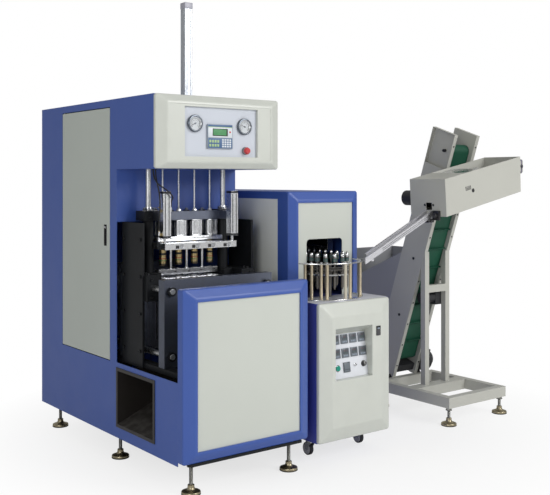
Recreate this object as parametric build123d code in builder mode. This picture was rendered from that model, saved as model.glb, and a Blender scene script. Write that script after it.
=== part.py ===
from build123d import *
from math import cos, pi, radians, sin, tan
import os

os.makedirs("parts", exist_ok=True)

# The row: blowing unit, preform oven and preform feeder side by side on one floor, in millimetres
host_width = 800
host_depth = 1710
host_oven_gap = 75
oven_width = 540
oven_feeder_gap = 640
feeder_width = 565
sorter_reach = 96
sheet = 3
running = 0.05
loose = 0.3

# Levelling feet
foot_radius = 50
foot_rim = 10
foot_neck = 13
foot_dome = 40
foot_stud_radius = 8
foot_thread = 24
foot_nut_radius = 15
foot_nut_height = 13
host_clearance = 156
feeder_clearance = 115
feeder_foot_inset = 30

# Outer edges of the row and of each unit
flange_proud = 4
row_length = flange_proud + host_width + host_oven_gap + oven_width + oven_feeder_gap
row_length = row_length + feeder_width + foot_radius - feeder_foot_inset
host_left = flange_proud - row_length / 2
host_right = host_left + host_width
host_middle = (host_left + host_right) / 2
oven_left = host_right + host_oven_gap
oven_right = oven_left + oven_width
feeder_left = oven_right + oven_feeder_gap
feeder_right = feeder_left + feeder_width
front = sorter_reach - (sorter_reach + host_depth) / 2
host_back = front + host_depth

# Blowing unit: cabinet, head and guard
cabinet_top = 2033
cabinet_front = front + 680
bay_floor = 572
cabinet_front_foot = 1350
head_bottom = 1642
head_front = front + 269
bezel_depth = 42
bevel_drop = 26
bevel_edge = 10
bevel_blend = 30
front_corner = 14
front_wall = 8
bezel_lip = 8
bezel_seat = 10
guard_front = front - 42
guard_back = front + 30
guard_bottom = 170
guard_top = 1040
guard_margin = 73
guard_panel_thickness = 4
door_front = front + 759
door_back = front + 1396
door_bottom = 568
door_top = 1992
door_gap = 5
door_depth = 20
door_skin = 2
latch_bottom = 1210
latch_top = 1330
louvre_drop = 473
louvre_pitch = 40
hinge_inset = 12
hinge_behind = 6
hinge_pin_radius = 4
hinge_pin_length = 22
hinge_lug = 12
chute_front = front + 270
chute_back = front + 665
chute_bottom = 232
chute_top = 531
chute_flange = 15
chute_reach = 640

# Blowing unit: controls on the head
panel_left = host_left + 165
panel_right = host_left + 639
panel_bottom = 1707
panel_top = 1972
panel_thickness = 3
field_depth = 2
panel_recess = 18
field_margin = 70
gauge_radius = 46
gauge_depth = 16
gauge_rim = 6
gauge_left_at = (host_left + 233, 1883)
gauge_right_at = (host_left + 554, 1876)
controller_left = host_left + 310
controller_right = host_left + 473
controller_bottom = 1751
controller_top = 1883
controller_depth = 12
stop_at = (host_left + 563, 1743)
stop_radius = 20
stop_stem_radius = 9
stop_travel = 5
stop_height = 26
stop_collar_radius = 16
stop_collar_height = 8

# Blowing unit: stretching and sealing gear over the moulds
cavities = 4
cavity_pitch = 105
rod_line = front + 594
rod_radius = 5
rod_tip = 1110
stretch_travel = 200
yoke_bottom = 1880
yoke_thickness = 22
yoke_half_depth = 28
column_spread = 249
column_radius = 15
bridge_bottom = 1940
bridge_thickness = 20
bridge_half_depth = 40
stretch_side = 52
stretch_bore = 20
stretch_top = 2598
stretch_cap = 36
stretch_piston_rod = 8
crosshead_bottom = 1357
crosshead_top = 1405
crosshead_half_depth = 39
crosshead_half_length = 300
crosshead_block = 100
post_radius = 30
seal_side = 68
seal_bottom = 1263
seal_bore = 22
seal_stem = 14
seal_travel = 20
seal_gland = 10
manifold_thickness = 23
manifold_half_length = 216
nozzle_radius = 19.5
nozzle_bottom = 1104
nozzle_top = 1190
nozzle_bore = 6
holder_bottom = 1200
holder_top = 1235
holder_front = front + 432
holder_back = front + 636
holder_half_length = 236
holder_travel = 12
holder_notch = 26
lift_side = 48
lift_spread = 223
lift_bottom = 1264
lift_top = 1520
lift_rod = 8
lift_bore = 18
hose_radius = 4
fitting_reach = 38
fitting_height = 18
upper_fitting = lift_top - 106
lower_fitting = lift_bottom + 20
preform_bar_bottom = 1050
preform_bar_top = 1080
preform_bar_half_length = 195
preform_bar_half_depth = 24
preform_seat = 13
hanger_radius = 8

# Blowing unit: mould clamp
clamp_travel = 110
platen_half_length = 350
platen_bottom = 600
platen_top = 1060
front_platen_front = front + 246
platen_thickness = 58
rear_platen_thickness = 50
backing_thickness = 25
mould_half_length = 195
mould_depth = 100
mould_bottom = 640
mould_top = 1035
cavity_radius = 38
cavity_bottom = mould_bottom + 50
neck_radius = 13
neck_bottom = mould_top - 35
cavity_shoulder = neck_bottom - 95
tie_radius = 16
tie_spread = 310
tie_low = 660
tie_high = 1000
tie_nut_radius = 26
tie_nut_height = 20
yoke_gap = 550
clamp_yoke_thickness = 40
barrel_radius = 85
barrel_bore = 70
barrel_wall = 12
barrel_length = 294
clamp_rod = 20
piston_height = 30
rail_top = 600
guide_front = front + 420
guide_back = front + 516
guide_bottom = 930
guide_top = 1070
side_plate_inset = 35
side_plate_thickness = 12
side_plate_front = front + 450
base_rail_width = 80
base_rail_height = 60
host_foot_inset = 87
host_foot_front = 45
host_foot_back = 90
host_foot_rows = (front + host_foot_front, front + 800, host_back - host_foot_back)

# Oven: control cabinet, tall body and loading ring
oven_clearance = 120
caster_plate = 8
duct_side = 80
duct_bottom = 300
desk_top = 895
desk_front = front - 45
desk_front_depth = 45
desk_margin = 80
oven_length = 1650
oven_back = front + oven_length
oven_top = 1515
oven_front = front + 232
oven_front_depth = 40
oven_margin = 58
oven_panel_top = 1449
oven_window_left = oven_left + 125
oven_window_right = oven_left + 401
oven_window_top = 1235
oven_window_rounding = 22
cover_front = front + 354
cover_back = oven_back - 90
cover_bottom = 940
cover_top = 1471
cover_lap = 10
recess_left = oven_left + 101
recess_right = oven_left + 381
recess_bottom = 460
recess_top = 752.5
recess_low = 37
recess_high = 73
recess_ceiling = 42.5
recess_rim = 12
recess_wall = 3
desk_panel_lean = 8.2
desk_panel_height = 249
desk_panel_thickness = 3
meter_side = 48
meter_pitch = 66
meter_rise = 78
meter_shift = 10
button_radius = 15
button_travel = 4
ring_x = oven_left + 250
ring_y = front + 270
ring_outer = 255
ring_inner = 230
ring_plate = 6
ring_cut = 39
ring_top = 1108
ring_post_radius = 7
ring_post_circle = 243
ring_post_angles = (196, 211, 225, 240, 268, 282, 305, 330)
chain_x = oven_left + 263
chain_front = front + 200
chain_back = oven_back - 200
chain_radius = 107
chain_bottom = desk_top + 167
chain_thickness = 4
chain_half_width = 8
spindles = 60
spindle_radius = 5
spindle_bottom = desk_top + 55
spindle_top = chain_bottom + 98
spindle_gear_radius = 15
spindle_gear_height = 10
spindle_spring_radius = 9
mandrel_radius = 13
mandrel_bottom = chain_bottom + 46
mandrel_height = 26
track_top = chain_bottom - 24
track_thickness = 8
track_slot = 7
track_half_width = 20
sprocket_tip = 99
sprocket_root = 88
sprocket_teeth = 12
sprocket_bottom = chain_bottom - 10
sprocket_thickness = 6
sprocket_shaft = 15
lamp_radius = 6
lamp_rows = 6
lamp_spacing = 45
reflector_inset = 55
wheel_radius = 37.5
wheel_half_width = 12
wheel_axle = 5
fork_trail = 24
fork_thickness = 4
caster_inset_left = 95
caster_inset_right = 54
caster_front = front + 165
caster_rear = oven_back - 150

# Feeder: base frame, elevator, sorter, chute and bin
rail_width = 50
frame_front = front + 86
frame_back = front + 760
frame_top = 183
cross_rail_front = front + 400
cross_rail_width = 90
upright_side = 40
upright_front = front + 440
upright_spread = 102
cross_bar_bottom = 810
cross_bar_top = 860
elevator_lean = 18.9
elevator_foot = (front + 754, 174)
elevator_length = 1800
elevator_depth = 205
belt_depth = 71
elevator_spread = 94
elevator_offset = 6
elevator_cover = 1554
elevator_flange = 30
roller_radius = 38
roller_axle = 10
head_roller_inset = 128
tail_roller_inset = 150
belt_thickness = 4
belt_side_gap = 4
cleat_height = 20
cleat_thickness = 6
cleat_spacing = 140
sorter_front = front - sorter_reach
sorter_depth = 296
sorter_left = feeder_left - 228
sorter_length = 718
sorter_low = 1357
sorter_height = 230
sorter_slope = 11.7
sorter_cover = 180
sort_roller_radius = 22
sort_roller_gap = 26
sort_journal = 8
sort_roller_lift = 70
chute_line = front + 45
chute_slope = 25
rail_gap = 32
rail_thickness = 14
rail_height = 32
near_rail_end = oven_left + 383
far_rail_end = oven_left + 430
bin_right = feeder_right - 20
bin_back = front + 1150
bin_rim = 1075
bin_fall = 0.43
bin_floor = 420
bin_slope = 180
outlet_top = 760
motor_plate = 8


# Square-edged block between two ends along each axis
def block(x, y, z, mode=Mode.ADD):
    with Locations(((x[0] + x[1]) / 2, (y[0] + y[1]) / 2, (z[0] + z[1]) / 2)):
        Box(x[1] - x[0], y[1] - y[0], z[1] - z[0], mode=mode)


# Straight round bar from one point to another
def round_bar(start, end, radius, mode=Mode.ADD):
    run = Vector(*end) - Vector(*start)
    with BuildSketch(Plane(origin=start, z_dir=run)) as section:
        Circle(radius)
    extrude(section.sketch, amount=run.length, mode=mode)


# Flat plate or bar with an outline drawn across the row, from one X to another
def side_profile(points, x, mode=Mode.ADD):
    with BuildSketch(Plane.YZ.offset(x[0])) as outline:
        with BuildLine():
            Polyline(*points, close=True)
        make_face()
    extrude(outline.sketch, amount=x[1] - x[0], mode=mode)


# Plate or bar with an outline seen from the front, from one Y back to another
def front_profile(points, y, mode=Mode.ADD):
    with BuildSketch(Plane.XZ.offset(-y[0])) as outline:
        with BuildLine():
            Polyline(*points, close=True)
        make_face()
    extrude(outline.sketch, amount=y[0] - y[1], mode=mode)


# Moulded front: a flat field with bevels falling to a rounded rim, margins wide at the sides and ends
def moulded_front(builder, x, y, z, margins):
    middle = ((x[0] + x[1]) / 2, (z[0] + z[1]) / 2)
    rim_y = y[0] + bevel_drop
    with BuildSketch(Plane.XZ.offset(-rim_y)) as rim:
        with Locations(middle):
            RectangleRounded(x[1] - x[0], z[1] - z[0], front_corner)
    extrude(rim.sketch, amount=rim_y - y[1])
    with BuildSketch(Plane.XZ.offset(-y[0])) as field:
        with Locations(middle):
            RectangleRounded(x[1] - x[0] - 2 * margins[0], z[1] - z[0] - 2 * margins[1], front_corner)
    loft([rim.sketch.face(), field.sketch.face()], ruled=True)
    fillet(builder.edges().filter_by_position(Axis.Y, y[0] - 0.1, y[0] + 0.1), radius=bevel_blend)
    fillet(builder.edges().filter_by_position(Axis.Y, rim_y - 0.1, rim_y + 0.1), radius=bevel_edge)


# X of each mould cavity, rod and nozzle
cavity_x = []
for number in range(cavities):
    cavity_x.append(host_middle + (number - (cavities - 1) / 2) * cavity_pitch)

# Both sides of the blowing unit as mirrored offsets from its middle
both_sides = (-1, 1)


# Levelling foot: domed pad, stud and lock nut
def foot(x, y, height):
    with BuildSketch(Plane(origin=(x, y, 0), x_dir=(1, 0, 0), z_dir=(0, -1, 0))) as half:
        with BuildLine():
            Polyline(
                (0, 0),
                (foot_radius, 0),
                (foot_radius, foot_rim),
                (foot_radius - foot_rim / 2, foot_rim * 1.5),
                (foot_neck * 1.6, foot_dome - foot_rim / 2),
                (foot_neck, foot_dome),
                (foot_neck, foot_dome + foot_rim),
                (foot_stud_radius, foot_dome + foot_rim),
                (foot_stud_radius, height + foot_thread),
                (0, height + foot_thread),
                close=True,
            )
        make_face()
    revolve(half.sketch, axis=Axis((x, y, 0), (0, 0, 1)))
    with BuildSketch(Plane.XY.offset(height - foot_nut_height)) as nut:
        with Locations((x, y)):
            RegularPolygon(foot_nut_radius, 6)
    extrude(nut.sketch, amount=foot_nut_height)


host_feet = []
for side in both_sides:
    for row in host_foot_rows:
        host_feet.append((host_middle + side * (host_width / 2 - host_foot_inset), row))
feeder_feet = []
for foot_x in (feeder_left + feeder_foot_inset, feeder_right - feeder_foot_inset):
    for foot_y in (frame_front + feeder_foot_inset, frame_back - feeder_foot_inset):
        feeder_feet.append((foot_x, foot_y))

with BuildPart() as levelling_feet:
    for place in host_feet:
        foot(place[0], place[1], host_clearance)
    for place in feeder_feet:
        foot(place[0], place[1], feeder_clearance)
levelling_feet.part.label = "levelling_feet"
export_step(levelling_feet.part, "parts/levelling_feet.step")


# Hole for a foot's stud, from below
def stud_hole(place, height):
    deep = height + foot_thread + 1
    mouth = (place[0], place[1], height)
    round_bar(mouth, (place[0], place[1], deep), foot_stud_radius + loose, Mode.SUBTRACT)


# Machine frame: a welded base of rails, and on each side a bed rail on legs with its side plate, guide
# block, beam and post, bolted onto the base
base_top = host_clearance + base_rail_height
rail_outer = side_plate_inset + side_plate_thickness
frame_depth = (guard_back + 1, host_back - sheet)
bed_length = 1340
bed_width = 60
leg_side = 50
bed_front = front + 60
bed_back = bed_front + bed_length
with BuildPart() as base_frame:
    for side in both_sides:
        near = host_middle + side * (host_width / 2 - rail_outer)
        rail_x = sorted((near, near - side * base_rail_width))
        block(rail_x, frame_depth, (host_clearance, base_top))
    inner = host_width / 2 - rail_outer - base_rail_width
    cross_x = (host_middle - inner, host_middle + inner)
    for cross_y in (frame_depth[0], front + 760, host_back - 130):
        block(cross_x, (cross_y, cross_y + base_rail_width), (host_clearance, base_top))
    lip_x = (host_left + rail_outer, host_right - rail_outer)
    block(lip_x, (front - 20, guard_back + 2), (host_clearance, guard_bottom))
    for place in host_feet:
        stud_hole(place, host_clearance)


# One side of the frame over the base
def side_frame(side):
    near = host_middle + side * (host_width / 2 - rail_outer)
    plate_x = sorted((near + side * side_plate_thickness, near))
    bed_x = sorted((near, near - side * bed_width))
    tie_x = host_middle + side * tie_spread
    post_x = host_middle + side * column_spread
    with BuildPart() as built:
        block(plate_x, (side_plate_front, cabinet_front), (bay_floor, cabinet_front_foot))
        block(bed_x, (bed_front, bed_back), (bay_floor, rail_top))
        for leg_y in (bed_front, front + 700, bed_back - leg_side - 10):
            block(bed_x, (leg_y, leg_y + leg_side), (base_top, bay_floor))
        guide_x = sorted((near, tie_x - side * 45))
        block(guide_x, (guide_front, guide_back), (guide_bottom, guide_top))
        beam_x = sorted((near, post_x - side * (post_radius + 8)))
        block(beam_x, (guide_back, cabinet_front), (guide_top - 50, guide_top))
        post_foot = (post_x, rod_line, guide_top)
        round_bar(post_foot, (post_x, rod_line, crosshead_bottom), post_radius)
        tie_start = (tie_x, guide_front - 1, tie_high)
        tie_end = (tie_x, guide_back + 1, tie_high)
        round_bar(tie_start, tie_end, tie_radius + running, Mode.SUBTRACT)
    return built.part


frame_solids = [base_frame.part.solid(), side_frame(-1).solid(), side_frame(1).solid()]
machine_frame = Compound(children=frame_solids, label="machine_frame")
export_step(machine_frame, "parts/machine_frame.step")

# Left side sheet: door opening and discharge opening
side_outline = [
    (guard_back, host_clearance),
    (host_back, host_clearance),
    (host_back, cabinet_top),
    (cabinet_front, cabinet_top),
    (cabinet_front, bay_floor),
    (guard_back, bay_floor),
]
with BuildPart() as left_side_sheet:
    side_profile(side_outline, (host_left, host_left + sheet))
    through_x = (host_left - 1, host_left + sheet + 1)
    block(through_x, (door_front, door_back), (door_bottom, door_top), Mode.SUBTRACT)
    opening_y = (chute_front - loose, chute_back + loose)
    block(through_x, opening_y, (chute_bottom - loose, chute_top + loose), Mode.SUBTRACT)
    lug_y = door_back - door_gap - hinge_inset
    for lug_bottom in (door_bottom - hinge_lug, door_top):
        lug_x = (host_left + sheet, host_left + 2 * hinge_lug)
        block(lug_x, (lug_y - hinge_lug, lug_y + hinge_lug), (lug_bottom, lug_bottom + hinge_lug))
        pin_low = (host_left + hinge_behind + hinge_pin_radius, lug_y, lug_bottom - 1)
        pin_high = (host_left + hinge_behind + hinge_pin_radius, lug_y, lug_bottom + hinge_lug + 1)
        round_bar(pin_low, pin_high, hinge_pin_radius + running, Mode.SUBTRACT)
left_side_sheet.part.label = "left_side_sheet"
export_step(left_side_sheet.part, "parts/left_side_sheet.step")

# Right side sheet: plain
with BuildPart() as right_side_sheet:
    side_profile(side_outline, (host_right - sheet, host_right))
right_side_sheet.part.label = "right_side_sheet"
export_step(right_side_sheet.part, "parts/right_side_sheet.step")

# Cabinet wrap: back, top and upper front folded from one sheet, with louvres in the back
wrap_x = (host_left + sheet, host_right - sheet)
wrap_outline = [
    (host_back, host_clearance),
    (host_back, cabinet_top),
    (cabinet_front, cabinet_top),
    (cabinet_front, cabinet_front_foot),
    (cabinet_front + sheet, cabinet_front_foot),
    (cabinet_front + sheet, cabinet_top - sheet),
    (host_back - sheet, cabinet_top - sheet),
    (host_back - sheet, host_clearance),
]
with BuildPart() as cabinet_wrap:
    side_profile(wrap_outline, wrap_x)
    for number in range(6):
        slot_z = cabinet_top - louvre_drop + number * louvre_pitch
        for slot_x in (host_left + 140, host_middle + 20):
            louvre_x = (slot_x, slot_x + 240)
            block(louvre_x, (host_back - 2 * sheet, host_back + sheet), (slot_z, slot_z + 12), Mode.SUBTRACT)
cabinet_wrap.part.label = "cabinet_wrap"
export_step(cabinet_wrap.part, "parts/cabinet_wrap.step")

# Door: shallow pan with two pivot pins and a recessed latch
door_y = (door_front + door_gap, door_back - door_gap)
door_z = (door_bottom + door_gap, door_top - door_gap)
pin_x = host_left + hinge_behind + hinge_pin_radius
with BuildPart() as left_door:
    block((host_left, host_left + door_depth), door_y, door_z)
    hollow_y = (door_y[0] + door_skin, door_y[1] - 2 * hinge_inset)
    hollow_z = (door_z[0] + door_skin, door_z[1] - door_skin)
    block((host_left + door_skin, host_left + door_depth + 1), hollow_y, hollow_z, Mode.SUBTRACT)
    latch_y = (front + 800, front + 834)
    tray_y = (latch_y[0] - 6, latch_y[1] + 6)
    block((host_left + door_skin, host_left + door_depth), tray_y, (latch_bottom - 6, latch_top + 6))
    block((host_left - 1, host_left + 12), latch_y, (latch_bottom, latch_top), Mode.SUBTRACT)
    handle_y = (latch_y[0] + 12, latch_y[0] + 22)
    block((host_left + 2, host_left + 12), handle_y, (latch_bottom + 6, latch_top - 6))
    round_bar((pin_x, lug_y, door_bottom - hinge_lug), (pin_x, lug_y, door_z[0] + 1), hinge_pin_radius)
    round_bar((pin_x, lug_y, door_z[1] - 1), (pin_x, lug_y, door_top + hinge_lug), hinge_pin_radius)
left_door.part.label = "left_door"
export_step(left_door.part, "parts/left_door.step")

# Head housing: box over the moulds, with holes for columns, rods, hoses and the stretch cylinder
head_y = (head_front, cabinet_front)
with BuildPart() as head_housing:
    block((host_left, host_right), head_y, (head_bottom, cabinet_top))
    inner_x = (host_left + sheet, host_right - sheet)
    inner_z = (head_bottom + sheet, cabinet_top - sheet)
    block(inner_x, (head_front - 1, cabinet_front + 1), inner_z, Mode.SUBTRACT)
    floor_low = head_bottom - 1
    floor_high = head_bottom + sheet + 1
    for x in cavity_x:
        round_bar((x, rod_line, floor_low), (x, rod_line, floor_high), rod_radius + 2, Mode.SUBTRACT)
    for side in both_sides:
        x = host_middle + side * column_spread
        round_bar((x, rod_line, floor_low), (x, rod_line, floor_high), column_radius + 2, Mode.SUBTRACT)
    hose_x = (host_left + 108, host_left + 146)
    block(hose_x, (front + 470, front + 500), (floor_low, floor_high), Mode.SUBTRACT)
    valve_x = (hose_x[0] - 6, hose_x[1] + 6)
    block(valve_x, (front + 462, front + 508), (head_bottom + sheet, head_bottom + 60))
    half_side = stretch_side / 2 + 1
    block(
        (host_middle - half_side, host_middle + half_side),
        (rod_line - half_side, rod_line + half_side),
        (cabinet_top - sheet - 1, cabinet_top + 1),
        Mode.SUBTRACT,
    )
head_housing.part.label = "head_housing"
export_step(head_housing.part, "parts/head_housing.step")

# Head bezel: moulded pale front with a shallow field and a window for the control panel
bezel_front = head_front - bezel_depth
with BuildPart() as head_bezel:
    bezel_y = (bezel_front, head_front)
    bezel_margins = (field_margin - 12, field_margin * 0.7 - 12)
    moulded_front(head_bezel, (host_left, host_right), bezel_y, (head_bottom, cabinet_top), bezel_margins)
    field_x = (host_left + field_margin, host_right - field_margin)
    field_z = (head_bottom + field_margin * 0.7, cabinet_top - field_margin * 0.7)
    block(field_x, (bezel_front - 1, bezel_front + field_depth), field_z, Mode.SUBTRACT)
    hollow_y = (bezel_front + panel_recess, head_front + 1)
    block(field_x, hollow_y, field_z, Mode.SUBTRACT)
    window_y = (bezel_front, head_front)
    block((panel_left, panel_right), window_y, (panel_bottom, panel_top), Mode.SUBTRACT)
head_bezel.part.label = "head_bezel"
export_step(head_bezel.part, "parts/head_bezel.step")

# Control panel plate behind the bezel's window, with the emergency stop's collar
plate_front = bezel_front + panel_recess
with BuildPart() as head_panel:
    plate_x = (panel_left - 12, panel_right + 12)
    plate_z = (panel_bottom - 12, panel_top + 12)
    block(plate_x, (plate_front, plate_front + panel_thickness), plate_z)
    collar_back = (stop_at[0], plate_front + 1, stop_at[1])
    round_bar(collar_back, (stop_at[0], plate_front - stop_collar_height, stop_at[1]), stop_collar_radius)
    hole_start = (stop_at[0], plate_front - stop_collar_height - 1, stop_at[1])
    hole_end = (stop_at[0], plate_front + panel_thickness + 1, stop_at[1])
    round_bar(hole_start, hole_end, stop_stem_radius + running, Mode.SUBTRACT)
head_panel.part.label = "head_panel"
export_step(head_panel.part, "parts/head_panel.step")

# Emergency stop: mushroom head on a stem that slides in the collar
with BuildPart() as stop_button:
    head_back = plate_front - stop_collar_height - stop_travel - 1
    with BuildSketch(Plane(origin=(stop_at[0], 0, stop_at[1]), x_dir=(1, 0, 0), z_dir=(0, 0, 1))) as cap:
        with BuildLine():
            Polyline(
                (0, head_back - stop_height + stop_collar_height),
                (stop_radius - 6, head_back - stop_height + stop_collar_height),
                (stop_radius, head_back - 8),
                (stop_radius - 2, head_back),
                (stop_stem_radius, head_back),
                (stop_stem_radius, plate_front + panel_thickness + 6),
                (0, plate_front + panel_thickness + 6),
                close=True,
            )
        make_face()
    revolve(cap.sketch, axis=Axis((stop_at[0], 0, stop_at[1]), (0, 1, 0)))
stop_button.part.label = "stop_button"
export_step(stop_button.part, "parts/stop_button.step")

# Process controller: case with a sunk screen and two blocks of keys
controller_x = (controller_left, controller_right)
controller_z = (controller_bottom, controller_top)
case_front = plate_front - controller_depth
with BuildPart() as controller:
    block(controller_x, (case_front, plate_front), controller_z)
    screen_x = (controller_left + 38, controller_right - 34)
    screen_z = (controller_top - 62, controller_top - 20)
    block(screen_x, (case_front - 1, case_front + 2), screen_z, Mode.SUBTRACT)
    with BuildSketch(Plane.XZ.offset(-case_front)) as keys:
        with Locations((controller_left + 54, controller_bottom + 34)):
            with GridLocations(17, 24, 5, 2):
                Rectangle(13, 14)
        with Locations((controller_right - 34, controller_bottom + 34)):
            with GridLocations(17, 14, 3, 4):
                Rectangle(13, 10)
    extrude(keys.sketch, amount=2)
controller.part.label = "controller"
export_step(controller.part, "parts/controller.step")

# Pressure gauges: round cases with a rim, a sunk dial and a needle
with BuildPart() as pressure_gauges:
    for place in (gauge_left_at, gauge_right_at):
        gauge_front = plate_front - gauge_depth
        back_point = (place[0], plate_front, place[1])
        round_bar(back_point, (place[0], gauge_front, place[1]), gauge_radius)
        dial_point = (place[0], gauge_front + 6, place[1])
        round_bar(dial_point, (place[0], gauge_front - 1, place[1]), gauge_radius - gauge_rim, Mode.SUBTRACT)
        round_bar(dial_point, (place[0], gauge_front + 2, place[1]), 4)
        with BuildSketch(Plane(origin=dial_point, x_dir=(1, 0, 0), z_dir=(0, -1, 0))) as needle:
            with Locations(Rotation(0, 0, 40)):
                with Locations((0, gauge_radius / 3)):
                    Rectangle(2, gauge_radius * 0.6)
        extrude(needle.sketch, amount=3)
pressure_gauges.part.label = "pressure_gauges"
export_step(pressure_gauges.part, "parts/pressure_gauges.step")

# Guard: front box with rounded outer edges and a rebate for its panel
with BuildPart() as guard_frame:
    guard_y = (guard_front, guard_back)
    guard_margins = (guard_margin - 13, guard_margin - 25)
    moulded_front(guard_frame, (host_left, host_right), guard_y, (guard_bottom, guard_top), guard_margins)
    inner_x = (host_left + front_wall, host_right - front_wall)
    inner_z = (guard_bottom + front_wall, guard_top - front_wall)
    block(inner_x, (guard_front + bevel_drop + 4, guard_back + 1), inner_z, Mode.SUBTRACT)
    window_x = (host_left + guard_margin, host_right - guard_margin)
    window_z = (guard_bottom + guard_margin - 12, guard_top - guard_margin + 8)
    block(window_x, (guard_front - 1, guard_back), window_z, Mode.SUBTRACT)
    seat_x = (window_x[0] - bezel_seat, window_x[1] + bezel_seat)
    seat_z = (window_z[0] - bezel_seat, window_z[1] + bezel_seat)
    block(seat_x, (guard_front + bezel_lip, guard_back), seat_z, Mode.SUBTRACT)
guard_frame.part.label = "guard_frame"
export_step(guard_frame.part, "parts/guard_frame.step")

with BuildPart() as guard_panel:
    panel_y = (guard_front + bezel_lip, guard_front + bezel_lip + guard_panel_thickness)
    block((seat_x[0] + loose, seat_x[1] - loose), panel_y, (seat_z[0] + loose, seat_z[1] - loose))
guard_panel.part.label = "guard_panel"
export_step(guard_panel.part, "parts/guard_panel.step")

# Discharge chute: flange on the left sheet, two walls and a sloping floor under the moulds
chute_x = (host_left, host_left + chute_reach)
chute_high = bay_floor - 12
with BuildPart() as discharge_chute:
    flange_y = (chute_front - chute_flange, chute_back + chute_flange)
    flange_z = (chute_bottom - chute_flange, chute_top + chute_flange)
    block((host_left - flange_proud, host_left), flange_y, flange_z)
    block((host_left - flange_proud, host_left + sheet), (chute_front, chute_back), (chute_bottom, chute_top))
    wall_points = [
        (host_left, chute_bottom),
        (host_left + chute_reach, chute_high - 60),
        (host_left + chute_reach, chute_high),
        (host_left + sheet, chute_top),
        (host_left, chute_top),
    ]
    front_profile(wall_points, (chute_front, chute_back))
    hollow_points = [
        (host_left - flange_proud - 1, chute_bottom + sheet),
        (host_left, chute_bottom + sheet),
        (host_left + chute_reach + 1, chute_high - 60 + sheet),
        (host_left + chute_reach + 1, chute_high + 1),
        (host_left + 150, chute_high + 1),
        (host_left + 40, chute_top - sheet),
        (host_left - flange_proud - 1, chute_top - sheet),
    ]
    front_profile(hollow_points, (chute_front + sheet, chute_back - sheet), Mode.SUBTRACT)
discharge_chute.part.label = "discharge_chute"
export_step(discharge_chute.part, "parts/discharge_chute.step")

# Guide columns: two ground bars from the crosshead up into the bridge that carries the stretch cylinder
bridge_top = bridge_bottom + bridge_thickness
bridge_y = (rod_line - bridge_half_depth, rod_line + bridge_half_depth)
with BuildPart() as guide_columns:
    block((host_left + sheet, host_right - sheet), bridge_y, (bridge_bottom, bridge_top))
    for side in both_sides:
        x = host_middle + side * column_spread
        round_bar((x, rod_line, crosshead_bottom + 10), (x, rod_line, bridge_top), column_radius)
    low = (host_middle, rod_line, bridge_bottom - 1)
    round_bar(low, (host_middle, rod_line, bridge_top + 1), stretch_piston_rod + running, Mode.SUBTRACT)
guide_columns.part.label = "guide_columns"
export_step(guide_columns.part, "parts/guide_columns.step")

# Stretch cylinder: square profile barrel with caps
with BuildPart() as stretch_cylinder:
    half_side = stretch_side / 2
    barrel_x = (host_middle - half_side, host_middle + half_side)
    barrel_y = (rod_line - half_side, rod_line + half_side)
    block(barrel_x, barrel_y, (bridge_top, stretch_top))
    bore_low = (host_middle, rod_line, bridge_top + 10)
    round_bar(bore_low, (host_middle, rod_line, stretch_top - stretch_cap), stretch_bore, Mode.SUBTRACT)
    gland_low = (host_middle, rod_line, bridge_top - 1)
    gland_high = (host_middle, rod_line, bridge_top + 11)
    round_bar(gland_low, gland_high, stretch_piston_rod + running, Mode.SUBTRACT)
    for corner_x in barrel_x:
        for corner_y in barrel_y:
            groove_x = (corner_x - 4, corner_x + 4)
            groove_y = (corner_y - 4, corner_y + 4)
            block(groove_x, groove_y, (cabinet_top + 40, stretch_top - stretch_cap), Mode.SUBTRACT)
stretch_cylinder.part.label = "stretch_cylinder"
export_step(stretch_cylinder.part, "parts/stretch_cylinder.step")

# Stretch rods: yoke on the columns, four rods with lock nuts, piston rod and piston
yoke_top = yoke_bottom + yoke_thickness
yoke_y = (rod_line - yoke_half_depth, rod_line + yoke_half_depth)
with BuildPart() as stretch_rods:
    yoke_half = column_spread + column_radius + 12
    block((host_middle - yoke_half, host_middle + yoke_half), yoke_y, (yoke_bottom, yoke_top))
    for side in both_sides:
        x = host_middle + side * column_spread
        low = (x, rod_line, yoke_bottom - 1)
        round_bar(low, (x, rod_line, yoke_top + 1), column_radius + running, Mode.SUBTRACT)
    for x in cavity_x:
        round_bar((x, rod_line, rod_tip), (x, rod_line, yoke_bottom + 1), rod_radius)
        round_bar((x, rod_line, yoke_bottom - 12), (x, rod_line, yoke_bottom), rod_radius + 5)
    piston_low = bridge_top + 24 + stretch_travel
    round_bar((host_middle, rod_line, yoke_top - 1), (host_middle, rod_line, piston_low), stretch_piston_rod)
    piston_start = (host_middle, rod_line, piston_low)
    piston_end = (host_middle, rod_line, piston_low + piston_height)
    round_bar(piston_start, piston_end, stretch_bore - running)
stretch_rods.part.label = "stretch_rods"
export_step(stretch_rods.part, "parts/stretch_rods.step")

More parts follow.
